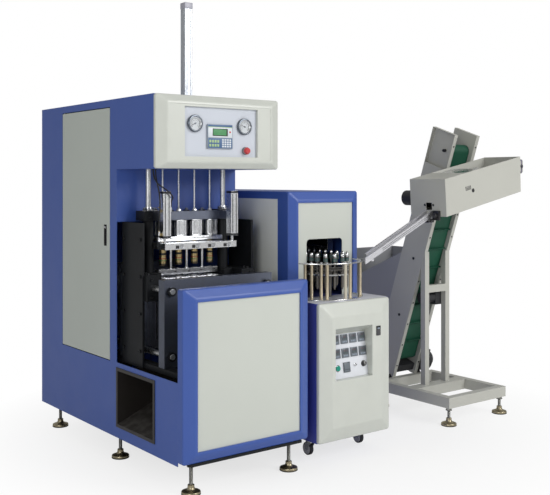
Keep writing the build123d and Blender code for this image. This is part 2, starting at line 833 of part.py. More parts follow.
# Crosshead: steel bar with end blocks on the posts, bolts on top and arms for the side cylinders
with BuildPart() as crosshead:
    bar_y = (rod_line - crosshead_half_depth, rod_line + crosshead_half_depth)
    bar_x = (host_middle - crosshead_half_length, host_middle + crosshead_half_length)
    block(bar_x, bar_y, (crosshead_bottom, crosshead_top))
    for side in both_sides:
        outer = host_middle + side * crosshead_half_length
        block_x = sorted((outer, outer - side * crosshead_block))
        block_y = (bar_y[0] - 8, bar_y[1] + 8)
        block(block_x, block_y, (crosshead_bottom, crosshead_top + 6))
        lift_x = host_middle + side * lift_spread
        arm_x = (lift_x - lift_side / 2, lift_x + lift_side / 2)
        block(arm_x, (holder_front + lift_side, bar_y[0]), (crosshead_bottom, crosshead_top))
        for bolt_x in (outer - side * 18, outer - side * (crosshead_block - 18)):
            bolt_foot = (bolt_x, rod_line - 18, crosshead_top + 6)
            round_bar(bolt_foot, (bolt_x, rod_line - 18, crosshead_top + 24), 10)
    for x in cavity_x:
        for offset in (-cavity_pitch / 2, cavity_pitch / 2):
            bolt_foot = (x + offset, rod_line, crosshead_top)
            if abs(x + offset - host_middle) < crosshead_half_length - crosshead_block:
                round_bar(bolt_foot, (x + offset, rod_line, crosshead_top + 18), 9)
    for x in cavity_x:
        low = (x, rod_line, crosshead_bottom - 1)
        round_bar(low, (x, rod_line, crosshead_top + 1), rod_radius + 1, Mode.SUBTRACT)
    for side in both_sides:
        x = host_middle + side * column_spread
        low = (x, rod_line, crosshead_bottom + 10)
        round_bar(low, (x, rod_line, crosshead_top + 30), column_radius + running, Mode.SUBTRACT)
crosshead.part.label = "crosshead"
export_step(crosshead.part, "parts/crosshead.step")

# Seal cylinders: four bored blocks on one manifold plate under the crosshead
seal_top = crosshead_bottom
with BuildPart() as seal_cylinders:
    plate_x = (host_middle - manifold_half_length, host_middle + manifold_half_length)
    plate_y = (rod_line - crosshead_half_depth - 10, rod_line + crosshead_half_depth + 10)
    block(plate_x, plate_y, (seal_bottom - manifold_thickness, seal_bottom))
    for x in cavity_x:
        half = seal_side / 2
        block((x - half, x + half), (rod_line - half, rod_line + half), (seal_bottom, seal_top))
        with BuildSketch(Plane.XY.offset(seal_bottom)) as grooves:
            with Locations((x, rod_line - half)):
                with GridLocations(22, 1, 3, 1):
                    Rectangle(5, 6)
        extrude(grooves.sketch, amount=seal_top - seal_bottom, mode=Mode.SUBTRACT)
    for x in cavity_x:
        low = seal_bottom + seal_gland
        round_bar((x, rod_line, low), (x, rod_line, seal_top - 12), seal_bore, Mode.SUBTRACT)
        plate_low = seal_bottom - manifold_thickness - 1
        round_bar((x, rod_line, plate_low), (x, rod_line, low + 1), seal_stem + running, Mode.SUBTRACT)
        round_bar((x, rod_line, seal_top - 13), (x, rod_line, seal_top + 1), rod_radius + 1, Mode.SUBTRACT)
seal_cylinders.part.label = "seal_cylinders"
export_step(seal_cylinders.part, "parts/seal_cylinders.step")

# Blow nozzles: hollow pistons with brass nozzles, one for each cavity
with BuildPart() as blow_nozzles:
    for x in cavity_x:
        piston_low = seal_bottom + seal_gland + seal_travel + 4
        round_bar((x, rod_line, nozzle_bottom), (x, rod_line, nozzle_top), nozzle_radius)
        round_bar((x, rod_line, nozzle_top - 1), (x, rod_line, piston_low + 1), seal_stem)
        round_bar((x, rod_line, piston_low), (x, rod_line, piston_low + 20), seal_bore - running)
        low = (x, rod_line, nozzle_bottom - 1)
        round_bar(low, (x, rod_line, piston_low + 21), nozzle_bore, Mode.SUBTRACT)
blow_nozzles.part.label = "blow_nozzles"
export_step(blow_nozzles.part, "parts/blow_nozzles.step")

# Holder plate: notched aluminium plate on the rods of the two side cylinders
with BuildPart() as holder_plate:
    plate_x = (host_middle - holder_half_length, host_middle + holder_half_length)
    waist_back = rod_line - post_radius - 4
    block(plate_x, (holder_front, waist_back), (holder_bottom, holder_top))
    waist = column_spread - post_radius - 4
    waist_x = (host_middle - waist, host_middle + waist)
    block(waist_x, (waist_back - 1, holder_back), (holder_bottom, holder_top))
    for x in cavity_x:
        low = (x, rod_line, holder_bottom - 1)
        round_bar(low, (x, rod_line, holder_top + 1), nozzle_radius + 2, Mode.SUBTRACT)
        notch_x = (x + cavity_pitch / 4 - holder_notch / 2, x + cavity_pitch / 4 + holder_notch / 2)
        notch_y = (holder_front - 1, holder_front + holder_notch)
        block(notch_x, notch_y, (holder_bottom + 4, holder_top - 8), Mode.SUBTRACT)
    for side in both_sides:
        x = host_middle + side * lift_spread
        y = holder_front + lift_side / 2
        piston_low = lift_bottom + 12 + holder_travel
        round_bar((x, y, holder_top - 1), (x, y, piston_low + 1), lift_rod)
        round_bar((x, y, piston_low), (x, y, piston_low + 20), lift_bore - running)
holder_plate.part.label = "holder_plate"
export_step(holder_plate.part, "parts/holder_plate.step")

# Side cylinders: two slim profile cylinders that press the holder plate down, hose elbows on the left one
left_lift = host_middle - lift_spread
with BuildPart() as side_cylinders:
    for side in both_sides:
        x = host_middle + side * lift_spread
        y = holder_front + lift_side / 2
        half = lift_side / 2
        block((x - half, x + half), (holder_front, holder_front + lift_side), (lift_bottom, lift_top))
        round_bar((x, y, lift_bottom + 10), (x, y, lift_top - 14), lift_bore, Mode.SUBTRACT)
        round_bar((x, y, lift_bottom - 1), (x, y, lift_bottom + 11), lift_rod + running, Mode.SUBTRACT)
        groove_z = (lift_bottom + 12, lift_top - 14)
        for groove_x in (x - 12, x + 12):
            groove_y = (holder_front - 1, holder_front + 3)
            block((groove_x - 2.5, groove_x + 2.5), groove_y, groove_z, Mode.SUBTRACT)
    for side, elbow_z in ((1, upper_fitting), (-1, lower_fitting)):
        y = holder_front + lift_side / 2
        x = left_lift + side * fitting_reach
        round_bar((left_lift + side * (lift_side / 2 - 1), y, elbow_z), (x, y, elbow_z), 5)
        round_bar((x, y, elbow_z - 5), (x, y, elbow_z + fitting_height), 6)
side_cylinders.part.label = "side_cylinders"
export_step(side_cylinders.part, "parts/side_cylinders.step")

# Preform bar: bright bar with four neck seats, hung from the holder plate
with BuildPart() as preform_bar:
    bar_x = (host_middle - preform_bar_half_length, host_middle + preform_bar_half_length)
    bar_y = (rod_line - preform_bar_half_depth, rod_line + preform_bar_half_depth)
    block(bar_x, bar_y, (preform_bar_bottom, preform_bar_top))
    for x in cavity_x:
        low = (x, rod_line, preform_bar_bottom - 1)
        round_bar(low, (x, rod_line, preform_bar_top + 1), preform_seat, Mode.SUBTRACT)
    for number in range(cavities - 1):
        x = cavity_x[number] + cavity_pitch / 2
        round_bar((x, rod_line, preform_bar_top - 1), (x, rod_line, holder_bottom), hanger_radius)
preform_bar.part.label = "preform_bar"
export_step(preform_bar.part, "parts/preform_bar.step")

# Mould halves: aluminium blocks that part on the rod line
cavity_profile = [
    (0, cavity_bottom),
    (cavity_radius, cavity_bottom),
    (cavity_radius, cavity_shoulder),
    (neck_radius, neck_bottom),
    (neck_radius, mould_top + 1),
    (0, mould_top + 1),
]


def cut_cavities():
    for x in cavity_x:
        with BuildSketch(Plane(origin=(x, rod_line, 0), x_dir=(1, 0, 0), z_dir=(0, -1, 0))) as half:
            with BuildLine():
                Polyline(*cavity_profile, close=True)
            make_face()
        revolve(half.sketch, axis=Axis((x, rod_line, 0), (0, 0, 1)), mode=Mode.SUBTRACT)


mould_x = (host_middle - mould_half_length, host_middle + mould_half_length)
with BuildPart() as front_mould:
    block(mould_x, (rod_line - mould_depth, rod_line), (mould_bottom, mould_top))
    cut_cavities()
front_mould.part.label = "front_mould"
export_step(front_mould.part, "parts/front_mould.step")

with BuildPart() as rear_mould:
    block(mould_x, (rod_line, rod_line + mould_depth), (mould_bottom, mould_top))
    cut_cavities()
rear_mould.part.label = "rear_mould"
export_step(rear_mould.part, "parts/rear_mould.step")

# Holes for the four tie bars through a plate
tie_places = []
for side in both_sides:
    for tie_z in (tie_low, tie_high):
        tie_places.append((host_middle + side * tie_spread, tie_z))


def tie_holes(y):
    for place in tie_places:
        start = (place[0], y[0] - 1, place[1])
        round_bar(start, (place[0], y[1] + 1, place[1]), tie_radius + running, Mode.SUBTRACT)


# Front platen: outer plate, spacers and backing plate for the front mould half
platen_x = (host_middle - platen_half_length, host_middle + platen_half_length)
platen_z = (platen_bottom + loose, platen_top)
front_platen_y = (front_platen_front, front_platen_front + platen_thickness)
backing_back = rod_line - mould_depth
with BuildPart() as front_platen:
    block(platen_x, front_platen_y, platen_z)
    backing_y = (backing_back - backing_thickness, backing_back)
    block(mould_x, backing_y, (mould_bottom - 20, mould_top))
    for side in both_sides:
        for spacer_z in (mould_bottom + 60, mould_top - 60):
            spacer_x = host_middle + side * (mould_half_length - 50)
            start = (spacer_x, front_platen_y[1] - 1, spacer_z)
            round_bar(start, (spacer_x, backing_y[0] + 1, spacer_z), 28)
    tie_holes(front_platen_y)
front_platen.part.label = "front_platen"
export_step(front_platen.part, "parts/front_platen.step")

# Rear platen: slides on the tie bars and carries the clamp piston
rear_platen_y = (rod_line + mould_depth, rod_line + mould_depth + rear_platen_thickness)
yoke_front = rear_platen_y[1] + yoke_gap
barrel_front = yoke_front - barrel_length
clamp_axis_z = (platen_bottom + platen_top) / 2
with BuildPart() as rear_platen:
    block(platen_x, rear_platen_y, platen_z)
    tie_holes(rear_platen_y)
    rod_start = (host_middle, rear_platen_y[1] - 1, clamp_axis_z)
    piston_y = barrel_front + barrel_wall + 2
    round_bar(rod_start, (host_middle, piston_y + 1, clamp_axis_z), clamp_rod)
    piston_start = (host_middle, piston_y, clamp_axis_z)
    piston_end = (host_middle, piston_y + piston_height, clamp_axis_z)
    round_bar(piston_start, piston_end, barrel_bore - running)
rear_platen.part.label = "rear_platen"
export_step(rear_platen.part, "parts/rear_platen.step")

# Clamp yoke: plate on the tie bars' rear ends with the clamp cylinder's barrel
yoke_y = (yoke_front, yoke_front + clamp_yoke_thickness)
with BuildPart() as clamp_yoke:
    block(platen_x, yoke_y, platen_z)
    tie_holes(yoke_y)
    barrel_start = (host_middle, barrel_front, clamp_axis_z)
    round_bar(barrel_start, (host_middle, yoke_front + 1, clamp_axis_z), barrel_radius)
    bore_start = (host_middle, barrel_front + barrel_wall, clamp_axis_z)
    bore_end = (host_middle, yoke_front - 4, clamp_axis_z)
    round_bar(bore_start, bore_end, barrel_bore, Mode.SUBTRACT)
    gland_start = (host_middle, barrel_front - 1, clamp_axis_z)
    gland_end = (host_middle, barrel_front + barrel_wall + 1, clamp_axis_z)
    round_bar(gland_start, gland_end, clamp_rod + running, Mode.SUBTRACT)
clamp_yoke.part.label = "clamp_yoke"
export_step(clamp_yoke.part, "parts/clamp_yoke.step")

# Tie bars: four ground bars with a nut at each end
with BuildPart() as tie_bars:
    for place in tie_places:
        start = (place[0], front_platen_y[0], place[1])
        end = (place[0], yoke_y[1], place[1])
        round_bar(start, end, tie_radius)
        round_bar(start, (place[0], front_platen_y[0] - tie_nut_height, place[1]), tie_nut_radius)
        round_bar(end, (place[0], yoke_y[1] + tie_nut_height, place[1]), tie_nut_radius)
tie_bars.part.label = "tie_bars"
export_step(tie_bars.part, "parts/tie_bars.step")

# Air hoses from the head to the fittings of the left side cylinder
hose_top = head_bottom + sheet


# Height on a hose's way, as a share of the rise from its fitting to the head
def hose_height(share, end):
    return end + share * (hose_top - end)


upper_end = upper_fitting + fitting_height
lower_end = lower_fitting + fitting_height
hose_upper = [
    (host_left + 119, front + 484, hose_top),
    (host_left + 119, front + 484, hose_height(0.82, upper_end)),
    (host_left + 132, front + 460, hose_height(0.60, upper_end)),
    (host_left + 160, front + 424, hose_height(0.48, upper_end)),
    (host_left + 190, front + 409, hose_height(0.34, upper_end)),
    (host_left + 211, front + 424, hose_height(0.24, upper_end)),
    (left_lift + fitting_reach, front + 456, hose_height(0.17, upper_end)),
    (left_lift + fitting_reach, front + 456, upper_end),
]
hose_lower = [
    (host_left + 134, front + 484, hose_top),
    (host_left + 134, front + 484, hose_height(0.89, lower_end)),
    (host_left + 141, front + 470, hose_height(0.72, lower_end)),
    (host_left + 145, front + 458, hose_height(0.58, lower_end)),
    (host_left + 143, front + 448, hose_height(0.40, lower_end)),
    (host_left + 136, front + 446, hose_height(0.23, lower_end)),
    (left_lift - fitting_reach, front + 456, hose_height(0.11, lower_end)),
    (left_lift - fitting_reach, front + 456, lower_end),
]


# Tube along straight runs joined by arcs as large as the runs allow
def hose(points, radius):
    vectors = [Vector(*point) for point in points]
    radii = []
    for before, corner, after in zip(vectors, vectors[1:], vectors[2:]):
        turn = (corner - before).get_angle(after - corner)
        shorter = min((corner - before).length, (after - corner).length)
        radii.append(0.45 * shorter / tan(radians(turn) / 2))
    print("hose radii", [round(value, 1) for value in radii])
    with BuildLine(mode=Mode.PRIVATE) as route:
        FilletPolyline(*points, radius=radii)
    path = route.wires()[0]
    with BuildSketch(Plane(origin=points[0], z_dir=vectors[1] - vectors[0])) as section:
        Circle(radius)
    sweep(section.sketch, path=path)
    print("hose length", round(path.length, 1))


with BuildPart() as air_hoses:
    hose(hose_upper, hose_radius)
    hose(hose_lower, hose_radius)
air_hoses.part.label = "air_hoses"
export_step(air_hoses.part, "parts/air_hoses.step")

# Oven: control cabinet on casters
desk_x = (oven_left, oven_right)
desk_y = (desk_front + desk_front_depth, oven_back)
caster_places = [
    ("left_front", oven_left + caster_inset_left, caster_front),
    ("right_front", oven_right - caster_inset_right, caster_front),
    ("left_rear", oven_left + caster_inset_left, caster_rear),
    ("right_rear", oven_right - caster_inset_right, caster_rear),
]
with BuildPart() as control_cabinet:
    block(desk_x, desk_y, (oven_clearance, desk_top))
    inside_x = (desk_x[0] + sheet, desk_x[1] - sheet)
    inside_y = (desk_y[0] - 1, desk_y[1] - sheet)
    block(inside_x, inside_y, (oven_clearance + sheet, desk_top - sheet), Mode.SUBTRACT)
    for name, x, y in caster_places:
        block((x - 38, x + 38), (y - 38, y + 38), (oven_clearance - caster_plate, oven_clearance))
    duct_x = (host_right, desk_x[0] + 1)
    duct_y = (front + 1300, front + 1300 + duct_side)
    block(duct_x, duct_y, (duct_bottom, duct_bottom + duct_side))
    duct_bore_y = (duct_y[0] + sheet, duct_y[1] - sheet)
    duct_bore_z = (duct_bottom + sheet, duct_bottom + duct_side - sheet)
    block((duct_x[0] - 1, duct_x[1] + 4), duct_bore_y, duct_bore_z, Mode.SUBTRACT)
    for number in range(12):
        vent_z = 480 + number * 14
        vent_y = (desk_y[0] + 100, desk_y[0] + 106)
        block((desk_x[0] - 1, desk_x[0] + sheet + 1), vent_y, (vent_z, vent_z + 8), Mode.SUBTRACT)
control_cabinet.part.label = "control_cabinet"
export_step(control_cabinet.part, "parts/control_cabinet.step")

# Control front: pale moulded front with the recess for the sloping panel and a small meter
with BuildPart() as control_front:
    front_z = (oven_clearance, desk_top)
    moulded_front(control_front, desk_x, (desk_front, desk_y[0]), front_z, (desk_margin, desk_margin))
    hollow_x = (desk_x[0] + front_wall, desk_x[1] - front_wall)
    hollow_z = (oven_clearance + front_wall, desk_top - front_wall)
    block(hollow_x, (desk_front + bevel_drop + 4, desk_y[0] + 1), hollow_z, Mode.SUBTRACT)
    core_x = (desk_x[0] + desk_margin, desk_x[1] - desk_margin)
    core_z = (oven_clearance + desk_margin, desk_top - desk_margin)
    block(core_x, (desk_front + 10, desk_y[0] + 1), core_z, Mode.SUBTRACT)
    tub_outline = [
        (desk_front + 8, recess_bottom - recess_wall),
        (desk_front + recess_low + recess_wall, recess_bottom - recess_wall),
        (desk_front + recess_high + recess_wall, recess_top - recess_ceiling + recess_wall),
        (desk_front + 8, recess_top + recess_wall),
    ]
    side_profile(tub_outline, (recess_left - recess_wall, recess_right + recess_wall))
    recess_outline = [
        (desk_front - 1, recess_bottom),
        (desk_front + recess_low, recess_bottom),
        (desk_front + recess_high, recess_top - recess_ceiling),
        (desk_front - 1, recess_top),
    ]
    side_profile(recess_outline, (recess_left, recess_right), Mode.SUBTRACT)
    rear_x = (recess_left + recess_rim, recess_right - recess_rim)
    rear_y = (desk_front + recess_low - 8, desk_front + recess_high + 10)
    rear_z = (recess_bottom + recess_rim, recess_top - recess_ceiling - recess_rim)
    block(rear_x, rear_y, rear_z, Mode.SUBTRACT)
    meter_x = (recess_right + 30, recess_right + 62)
    block(meter_x, (desk_front - 3, desk_front + 2), (685, 740))
control_front.part.label = "control_front"
export_step(control_front.part, "parts/control_front.step")

# Sloping control panel: eight square controllers, a meter, a toggle and a rotary switch
lean = radians(desk_panel_lean)
panel_middle = (recess_left + recess_right) / 2
panel_plane = Plane(
    origin=(panel_middle, desk_front + recess_low - desk_panel_thickness / cos(lean), recess_bottom + 0.5),
    x_dir=(1, 0, 0),
    z_dir=(0, -cos(lean), sin(lean)),
)
desk_panel_width = recess_right - recess_left - 2 * loose
lower_row = 60
meter_rows = (lower_row + 80, lower_row + 80 + meter_rise)
meter_columns = []
for number in range(4):
    meter_columns.append(meter_shift + (number - 1.5) * meter_pitch)
with BuildPart() as control_panel:
    with BuildSketch(panel_plane) as plate:
        with Locations((0, desk_panel_height / 2)):
            Rectangle(desk_panel_width, desk_panel_height)
        with Locations((meter_columns[0], lower_row)):
            Circle(button_radius + loose, mode=Mode.SUBTRACT)
    extrude(plate.sketch, amount=-desk_panel_thickness)
    with BuildSketch(panel_plane) as meters:
        with Locations((meter_shift, sum(meter_rows) / 2)):
            with GridLocations(meter_pitch, meter_rise, 4, 2):
                Rectangle(meter_side, meter_side)
        with Locations((meter_columns[1], lower_row)):
            Rectangle(meter_side, meter_side * 1.2)
    extrude(meters.sketch, amount=6)
    with BuildSketch(panel_plane) as switches:
        with Locations((meter_columns[2], lower_row + 6)):
            Circle(5)
        with Locations((meter_columns[3], lower_row + 6)):
            Circle(13)
    extrude(switches.sketch, amount=12)
control_panel.part.label = "control_panel"
export_step(control_panel.part, "parts/control_panel.step")

# Start button: round cap that travels square to the sloping panel
with BuildPart() as start_button:
    with BuildSketch(panel_plane.offset(-desk_panel_thickness - 8)) as stem:
        with Locations((meter_columns[0], lower_row)):
            Circle(button_radius)
    extrude(stem.sketch, amount=desk_panel_thickness + 8 + 9)
    with BuildSketch(panel_plane.offset(-desk_panel_thickness - 4)) as collar:
        with Locations((meter_columns[0], lower_row)):
            Circle(button_radius + 3)
    extrude(collar.sketch, amount=4)
start_button.part.label = "start_button"
export_step(start_button.part, "parts/start_button.step")

# Oven shell: tall body with a framed front and an opening in the left side
shell_y = (oven_front, oven_back)
with BuildPart() as oven_shell:
    oven_front_y = (oven_front, oven_front + oven_front_depth)
    oven_front_margins = (oven_margin - 8, oven_margin - 8)
    moulded_front(oven_shell, desk_x, oven_front_y, (desk_top - 100, oven_top), oven_front_margins)
    block(desk_x, (oven_front_y[1], oven_back), (desk_top, oven_top))
    block(desk_x, (oven_front - 1, oven_front_y[1]), (desk_top - 101, desk_top), Mode.SUBTRACT)
    inside_y = (oven_front + oven_front_depth, oven_back - sheet)
    block(inside_x, inside_y, (desk_top - 1, oven_top - sheet), Mode.SUBTRACT)
    frame_x = (desk_x[0] + oven_margin, desk_x[1] - oven_margin)
    frame_z = (desk_top - 1, oven_panel_top)
    block(frame_x, (oven_front - 1, oven_front + oven_front_depth + 1), frame_z, Mode.SUBTRACT)
    seat_x = (frame_x[0] - bezel_seat, frame_x[1] + bezel_seat)
    seat_y = (oven_front + bezel_lip, oven_front + oven_front_depth + 1)
    block(seat_x, seat_y, (desk_top - 1, oven_panel_top + bezel_seat), Mode.SUBTRACT)
    cover_y = (cover_front + cover_lap, cover_back - cover_lap)
    cover_z = (cover_bottom + cover_lap, cover_top - cover_lap)
    block((oven_left - 1, oven_left + sheet + 1), cover_y, cover_z, Mode.SUBTRACT)
oven_shell.part.label = "oven_shell"
export_step(oven_shell.part, "parts/oven_shell.step")

# Oven front panel: pale plate with the round-cornered window that the spindles pass through
with BuildPart() as oven_front_panel:
    panel_y = (oven_front + bezel_lip, oven_front + bezel_lip + panel_thickness)
    block((seat_x[0] + loose, seat_x[1] - loose), panel_y, (desk_top, oven_panel_top + bezel_seat - loose))
    window_x = (oven_window_left, oven_window_right)
    with BuildSketch(Plane.XZ.offset(-panel_y[0] + 1)) as window:
        with Locations(((window_x[0] + window_x[1]) / 2, (desk_top + oven_window_top) / 2 - 30)):
            RectangleRounded(window_x[1] - window_x[0], oven_window_top - desk_top + 60, oven_window_rounding)
    extrude(window.sketch, amount=-panel_thickness - 2, mode=Mode.SUBTRACT)
oven_front_panel.part.label = "oven_front_panel"
export_step(oven_front_panel.part, "parts/oven_front_panel.step")

# Side cover: grey lift-off sheet hung over the opening in the oven's left side
with BuildPart() as oven_side_cover:
    block((oven_left - sheet, oven_left), (cover_front, cover_back), (cover_bottom, cover_top))
    for hook_y in (cover_front + 130, cover_back - 160):
        hook_z = (cover_top - cover_lap - 24, cover_top - cover_lap - 0.5)
        block((oven_left, oven_left + sheet + 4), (hook_y, hook_y + 30), hook_z)
oven_side_cover.part.label = "oven_side_cover"
export_step(oven_side_cover.part, "parts/oven_side_cover.step")


# Loading ring: two thin arcs joined by brass posts round the front sprocket
def ring_arc(bottom):
    with BuildSketch(Plane.XY.offset(bottom)) as arc:
        with Locations((ring_x, ring_y)):
            Circle(ring_outer)
            Circle(ring_inner, mode=Mode.SUBTRACT)
            with Locations((0, ring_outer - ring_cut)):
                Rectangle(3 * ring_outer, 2 * ring_outer, mode=Mode.SUBTRACT)
    extrude(arc.sketch, amount=ring_plate)


with BuildPart() as loading_ring:
    ring_arc(desk_top)
    ring_arc(ring_top - ring_plate)
    for angle in ring_post_angles:
        post_x = ring_x + ring_post_circle * cos(radians(angle))
        post_y = ring_y + ring_post_circle * sin(radians(angle))
        low = desk_top + ring_plate - 1
        round_bar((post_x, post_y, low), (post_x, post_y, ring_top - ring_plate + 1), ring_post_radius)
loading_ring.part.label = "loading_ring"
export_step(loading_ring.part, "parts/loading_ring.step")

# Places of the spindles along the chain's loop of two straights and two half turns
straight = chain_back - chain_front
half_turn = pi * chain_radius
loop = 2 * (straight + half_turn)
spindle_places = []
for number in range(spindles):
    run = number * loop / spindles
    if run < straight:
        spindle_places.append((chain_x - chain_radius, chain_back - run))
    elif run < straight + half_turn:
        angle = pi + (run - straight) / chain_radius
        spindle_places.append((chain_x + chain_radius * cos(angle), chain_front + chain_radius * sin(angle)))
    elif run < 2 * straight + half_turn:
        spindle_places.append((chain_x + chain_radius, chain_front + run - straight - half_turn))
    else:
        angle = (run - 2 * straight - half_turn) / chain_radius
        spindle_places.append((chain_x + chain_radius * cos(angle), chain_back + chain_radius * sin(angle)))


# Band that follows the chain's loop, between two distances from its middle line
def loop_band(bottom, height, outward, inward):
    with BuildSketch(Plane.XY.offset(bottom)) as band:
        with Locations(Location((chain_x, (chain_front + chain_back) / 2), (0, 0, 90))):
            SlotCenterToCenter(straight, 2 * (chain_radius + outward))
            SlotCenterToCenter(straight, 2 * (chain_radius + inward), mode=Mode.SUBTRACT)
    extrude(band.sketch, amount=height)


# Round discs of one height at every spindle
def spindle_discs(bottom, top, radius):
    with BuildSketch(Plane.XY.offset(bottom)) as discs:
        with Locations(*spindle_places):
            Circle(radius)
    extrude(discs.sketch, amount=top - bottom)


with BuildPart() as spindle_chain:
    spindle_discs(spindle_bottom, spindle_top, spindle_radius)
    spindle_discs(track_top, track_top + spindle_gear_height, spindle_gear_radius)
    spindle_discs(spindle_bottom + 10, track_top - track_thickness - 5, spindle_spring_radius)
    spindle_discs(mandrel_bottom, mandrel_bottom + mandrel_height, mandrel_radius)
    loop_band(chain_bottom, chain_thickness, chain_half_width, -chain_half_width)
    loop_band(chain_bottom + 3 * chain_thickness, chain_thickness, chain_half_width, -chain_half_width)
spindle_chain.part.label = "spindle_chain"
export_step(spindle_chain.part, "parts/spindle_chain.step")

# Front sprocket: toothed disc, hub and shaft on the cabinet's top
with BuildPart() as front_sprocket:
    with BuildSketch(Plane.XY.offset(sprocket_bottom)) as disc:
        with Locations((chain_x, chain_front)):
            Circle(sprocket_root)
            with PolarLocations(sprocket_root, sprocket_teeth):
                Rectangle(2 * (sprocket_tip - sprocket_root), 12)
    extrude(disc.sketch, amount=sprocket_thickness)
    shaft_low = (chain_x, chain_front, desk_top + loose)
    round_bar(shaft_low, (chain_x, chain_front, sprocket_bottom + 30), sprocket_shaft)
    hub_low = (chain_x, chain_front, sprocket_bottom - 14)
    round_bar(hub_low, (chain_x, chain_front, sprocket_bottom + 1), 2 * sprocket_shaft)
front_sprocket.part.label = "front_sprocket"
export_step(front_sprocket.part, "parts/front_sprocket.step")

# Heating frame: chain track on legs, reflectors and infrared lamp tubes on both sides
with BuildPart() as heating_frame:
    track_bottom = track_top - track_thickness
    loop_band(track_bottom, track_thickness, track_half_width, track_slot)
    loop_band(track_bottom, track_thickness, -track_slot, -track_half_width)
    for leg_y in (front + 330, front + 700, front + 1050, front + 1400):
        for side in both_sides:
            outer = chain_x + side * (chain_radius + track_half_width)
            block(sorted((outer, outer - side * 8)), (leg_y, leg_y + 30), (desk_top, track_top - 1))
            inward = chain_x + side * (chain_radius - track_half_width)
            block(sorted((inward, inward + side * 8)), (leg_y, leg_y + 30), (desk_top, track_top - 1))
    lamp_y = (front + 420, front + 1400)
    for side in both_sides:
        plate = (oven_left + oven_right) / 2 + side * (oven_width / 2 - reflector_inset)
        block(sorted((plate, plate - side * 4)), lamp_y, (desk_top, 1440))
        for end_y in (lamp_y[0], lamp_y[1] - 8):
            end_x = sorted((plate, plate - side * 44))
            block(end_x, (end_y, end_y + 8), (1130, 1440))
        for row in range(lamp_rows):
            lamp_z = 1170 + row * lamp_spacing
            lamp_x = plate - side * 28
            start = (lamp_x, lamp_y[0] + 4, lamp_z)
            round_bar(start, (lamp_x, lamp_y[1] - 4, lamp_z), lamp_radius)
heating_frame.part.label = "heating_frame"
export_step(heating_frame.part, "parts/heating_frame.step")


# Caster fork: swivel head, two cheeks and the axle, trailing behind the swivel
def fork(x, y, head_gap):
    head_top = oven_clearance - caster_plate - head_gap
    round_bar((x, y, wheel_radius * 2 + 6), (x, y, head_top), 26)
    axle_y = y + fork_trail
    for side in both_sides:
        near = x + side * (wheel_half_width + 3)
        cheek = sorted((near, near + side * fork_thickness))
        side_profile(
            [
                (y - 20, wheel_radius * 2 + 6),
                (y + 24, wheel_radius * 2 + 6),
                (axle_y + 10, wheel_radius - 6),
                (axle_y - 10, wheel_radius - 6),
            ],
            cheek,
        )
    crown_x = (x - wheel_half_width - 3 - fork_thickness, x + wheel_half_width + 3 + fork_thickness)
    block(crown_x, (y - 20, y + 24), (wheel_radius * 2 + 4, wheel_radius * 2 + 10))
    axle_start = (crown_x[0], axle_y, wheel_radius)
    round_bar(axle_start, (crown_x[1], axle_y, wheel_radius), wheel_axle)


with BuildPart() as left_caster_fork:
    fork(caster_places[0][1], caster_places[0][2], loose)
left_caster_fork.part.label = "left_caster_fork"
export_step(left_caster_fork.part, "parts/left_caster_fork.step")

with BuildPart() as right_caster_fork:
    fork(caster_places[1][1], caster_places[1][2], loose)
right_caster_fork.part.label = "right_caster_fork"
export_step(right_caster_fork.part, "parts/right_caster_fork.step")

with BuildPart() as rear_caster_forks:
    fork(caster_places[2][1], caster_places[2][2], 0)
    fork(caster_places[3][1], caster_places[3][2], 0)
rear_caster_forks.part.label = "rear_caster_forks"
export_step(rear_caster_forks.part, "parts/rear_caster_forks.step")

# Caster wheels: rounded tread, bored for the axle
for name, x, y in caster_places:
    axle_y = y + fork_trail
    with BuildPart() as caster_wheel:
        start = (x - wheel_half_width, axle_y, wheel_radius)
        round_bar(start, (x + wheel_half_width, axle_y, wheel_radius), wheel_radius)
        fillet(caster_wheel.edges().filter_by(GeomType.CIRCLE), radius=5)
        bore_start = (x - wheel_half_width - 1, axle_y, wheel_radius)
        bore_end = (x + wheel_half_width + 1, axle_y, wheel_radius)
        round_bar(bore_start, bore_end, wheel_axle + running, Mode.SUBTRACT)
    caster_wheel.part.label = name + "_wheel"
    export_step(caster_wheel.part, "parts/" + name + "_wheel.step")

# Feeder frame: welded base rails, cross rail and two uprights with a cross bar
feeder_middle = (feeder_left + feeder_right) / 2 - elevator_offset
elevator_tilt = radians(elevator_lean)
slope_run = tan(elevator_tilt)


# Y of the elevator's front edge at a height
def elevator_front(z):
    return elevator_foot[0] - (z - elevator_foot[1]) * slope_run


with BuildPart() as feeder_frame:
    frame_z = (feeder_clearance, frame_top)
    block((feeder_left, feeder_right), (frame_front, frame_back), frame_z)
    bay_x = (feeder_left + rail_width, feeder_right - rail_width)
    bay_front = (frame_front + rail_width, cross_rail_front)
    bay_back = (cross_rail_front + cross_rail_width, frame_back - rail_width)
    open_z = (feeder_clearance - 1, frame_top + 1)
    block(bay_x, bay_front, open_z, Mode.SUBTRACT)
    block(bay_x, bay_back, open_z, Mode.SUBTRACT)
    upright_back = upright_front + upright_side
    for side in both_sides:
        x = feeder_middle + side * upright_spread
        half = upright_side / 2
        top_front = elevator_foot[1] + (elevator_foot[0] - upright_front) / slope_run
        top_back = elevator_foot[1] + (elevator_foot[0] - upright_back) / slope_run
        side_profile(
            [
                (upright_front, frame_top - 1),
                (upright_back, frame_top - 1),
                (upright_back, top_back),
                (upright_front, top_front),
            ],
            (x - half, x + half),
        )
    bar_x = (feeder_middle - upright_spread, feeder_middle + upright_spread)
    block(bar_x, (upright_front, upright_back), (cross_bar_bottom, cross_bar_top))
    for place in feeder_feet:
        stud_hole(place, feeder_clearance)
feeder_frame.part.label = "feeder_frame"
export_step(feeder_frame.part, "parts/feeder_frame.step")


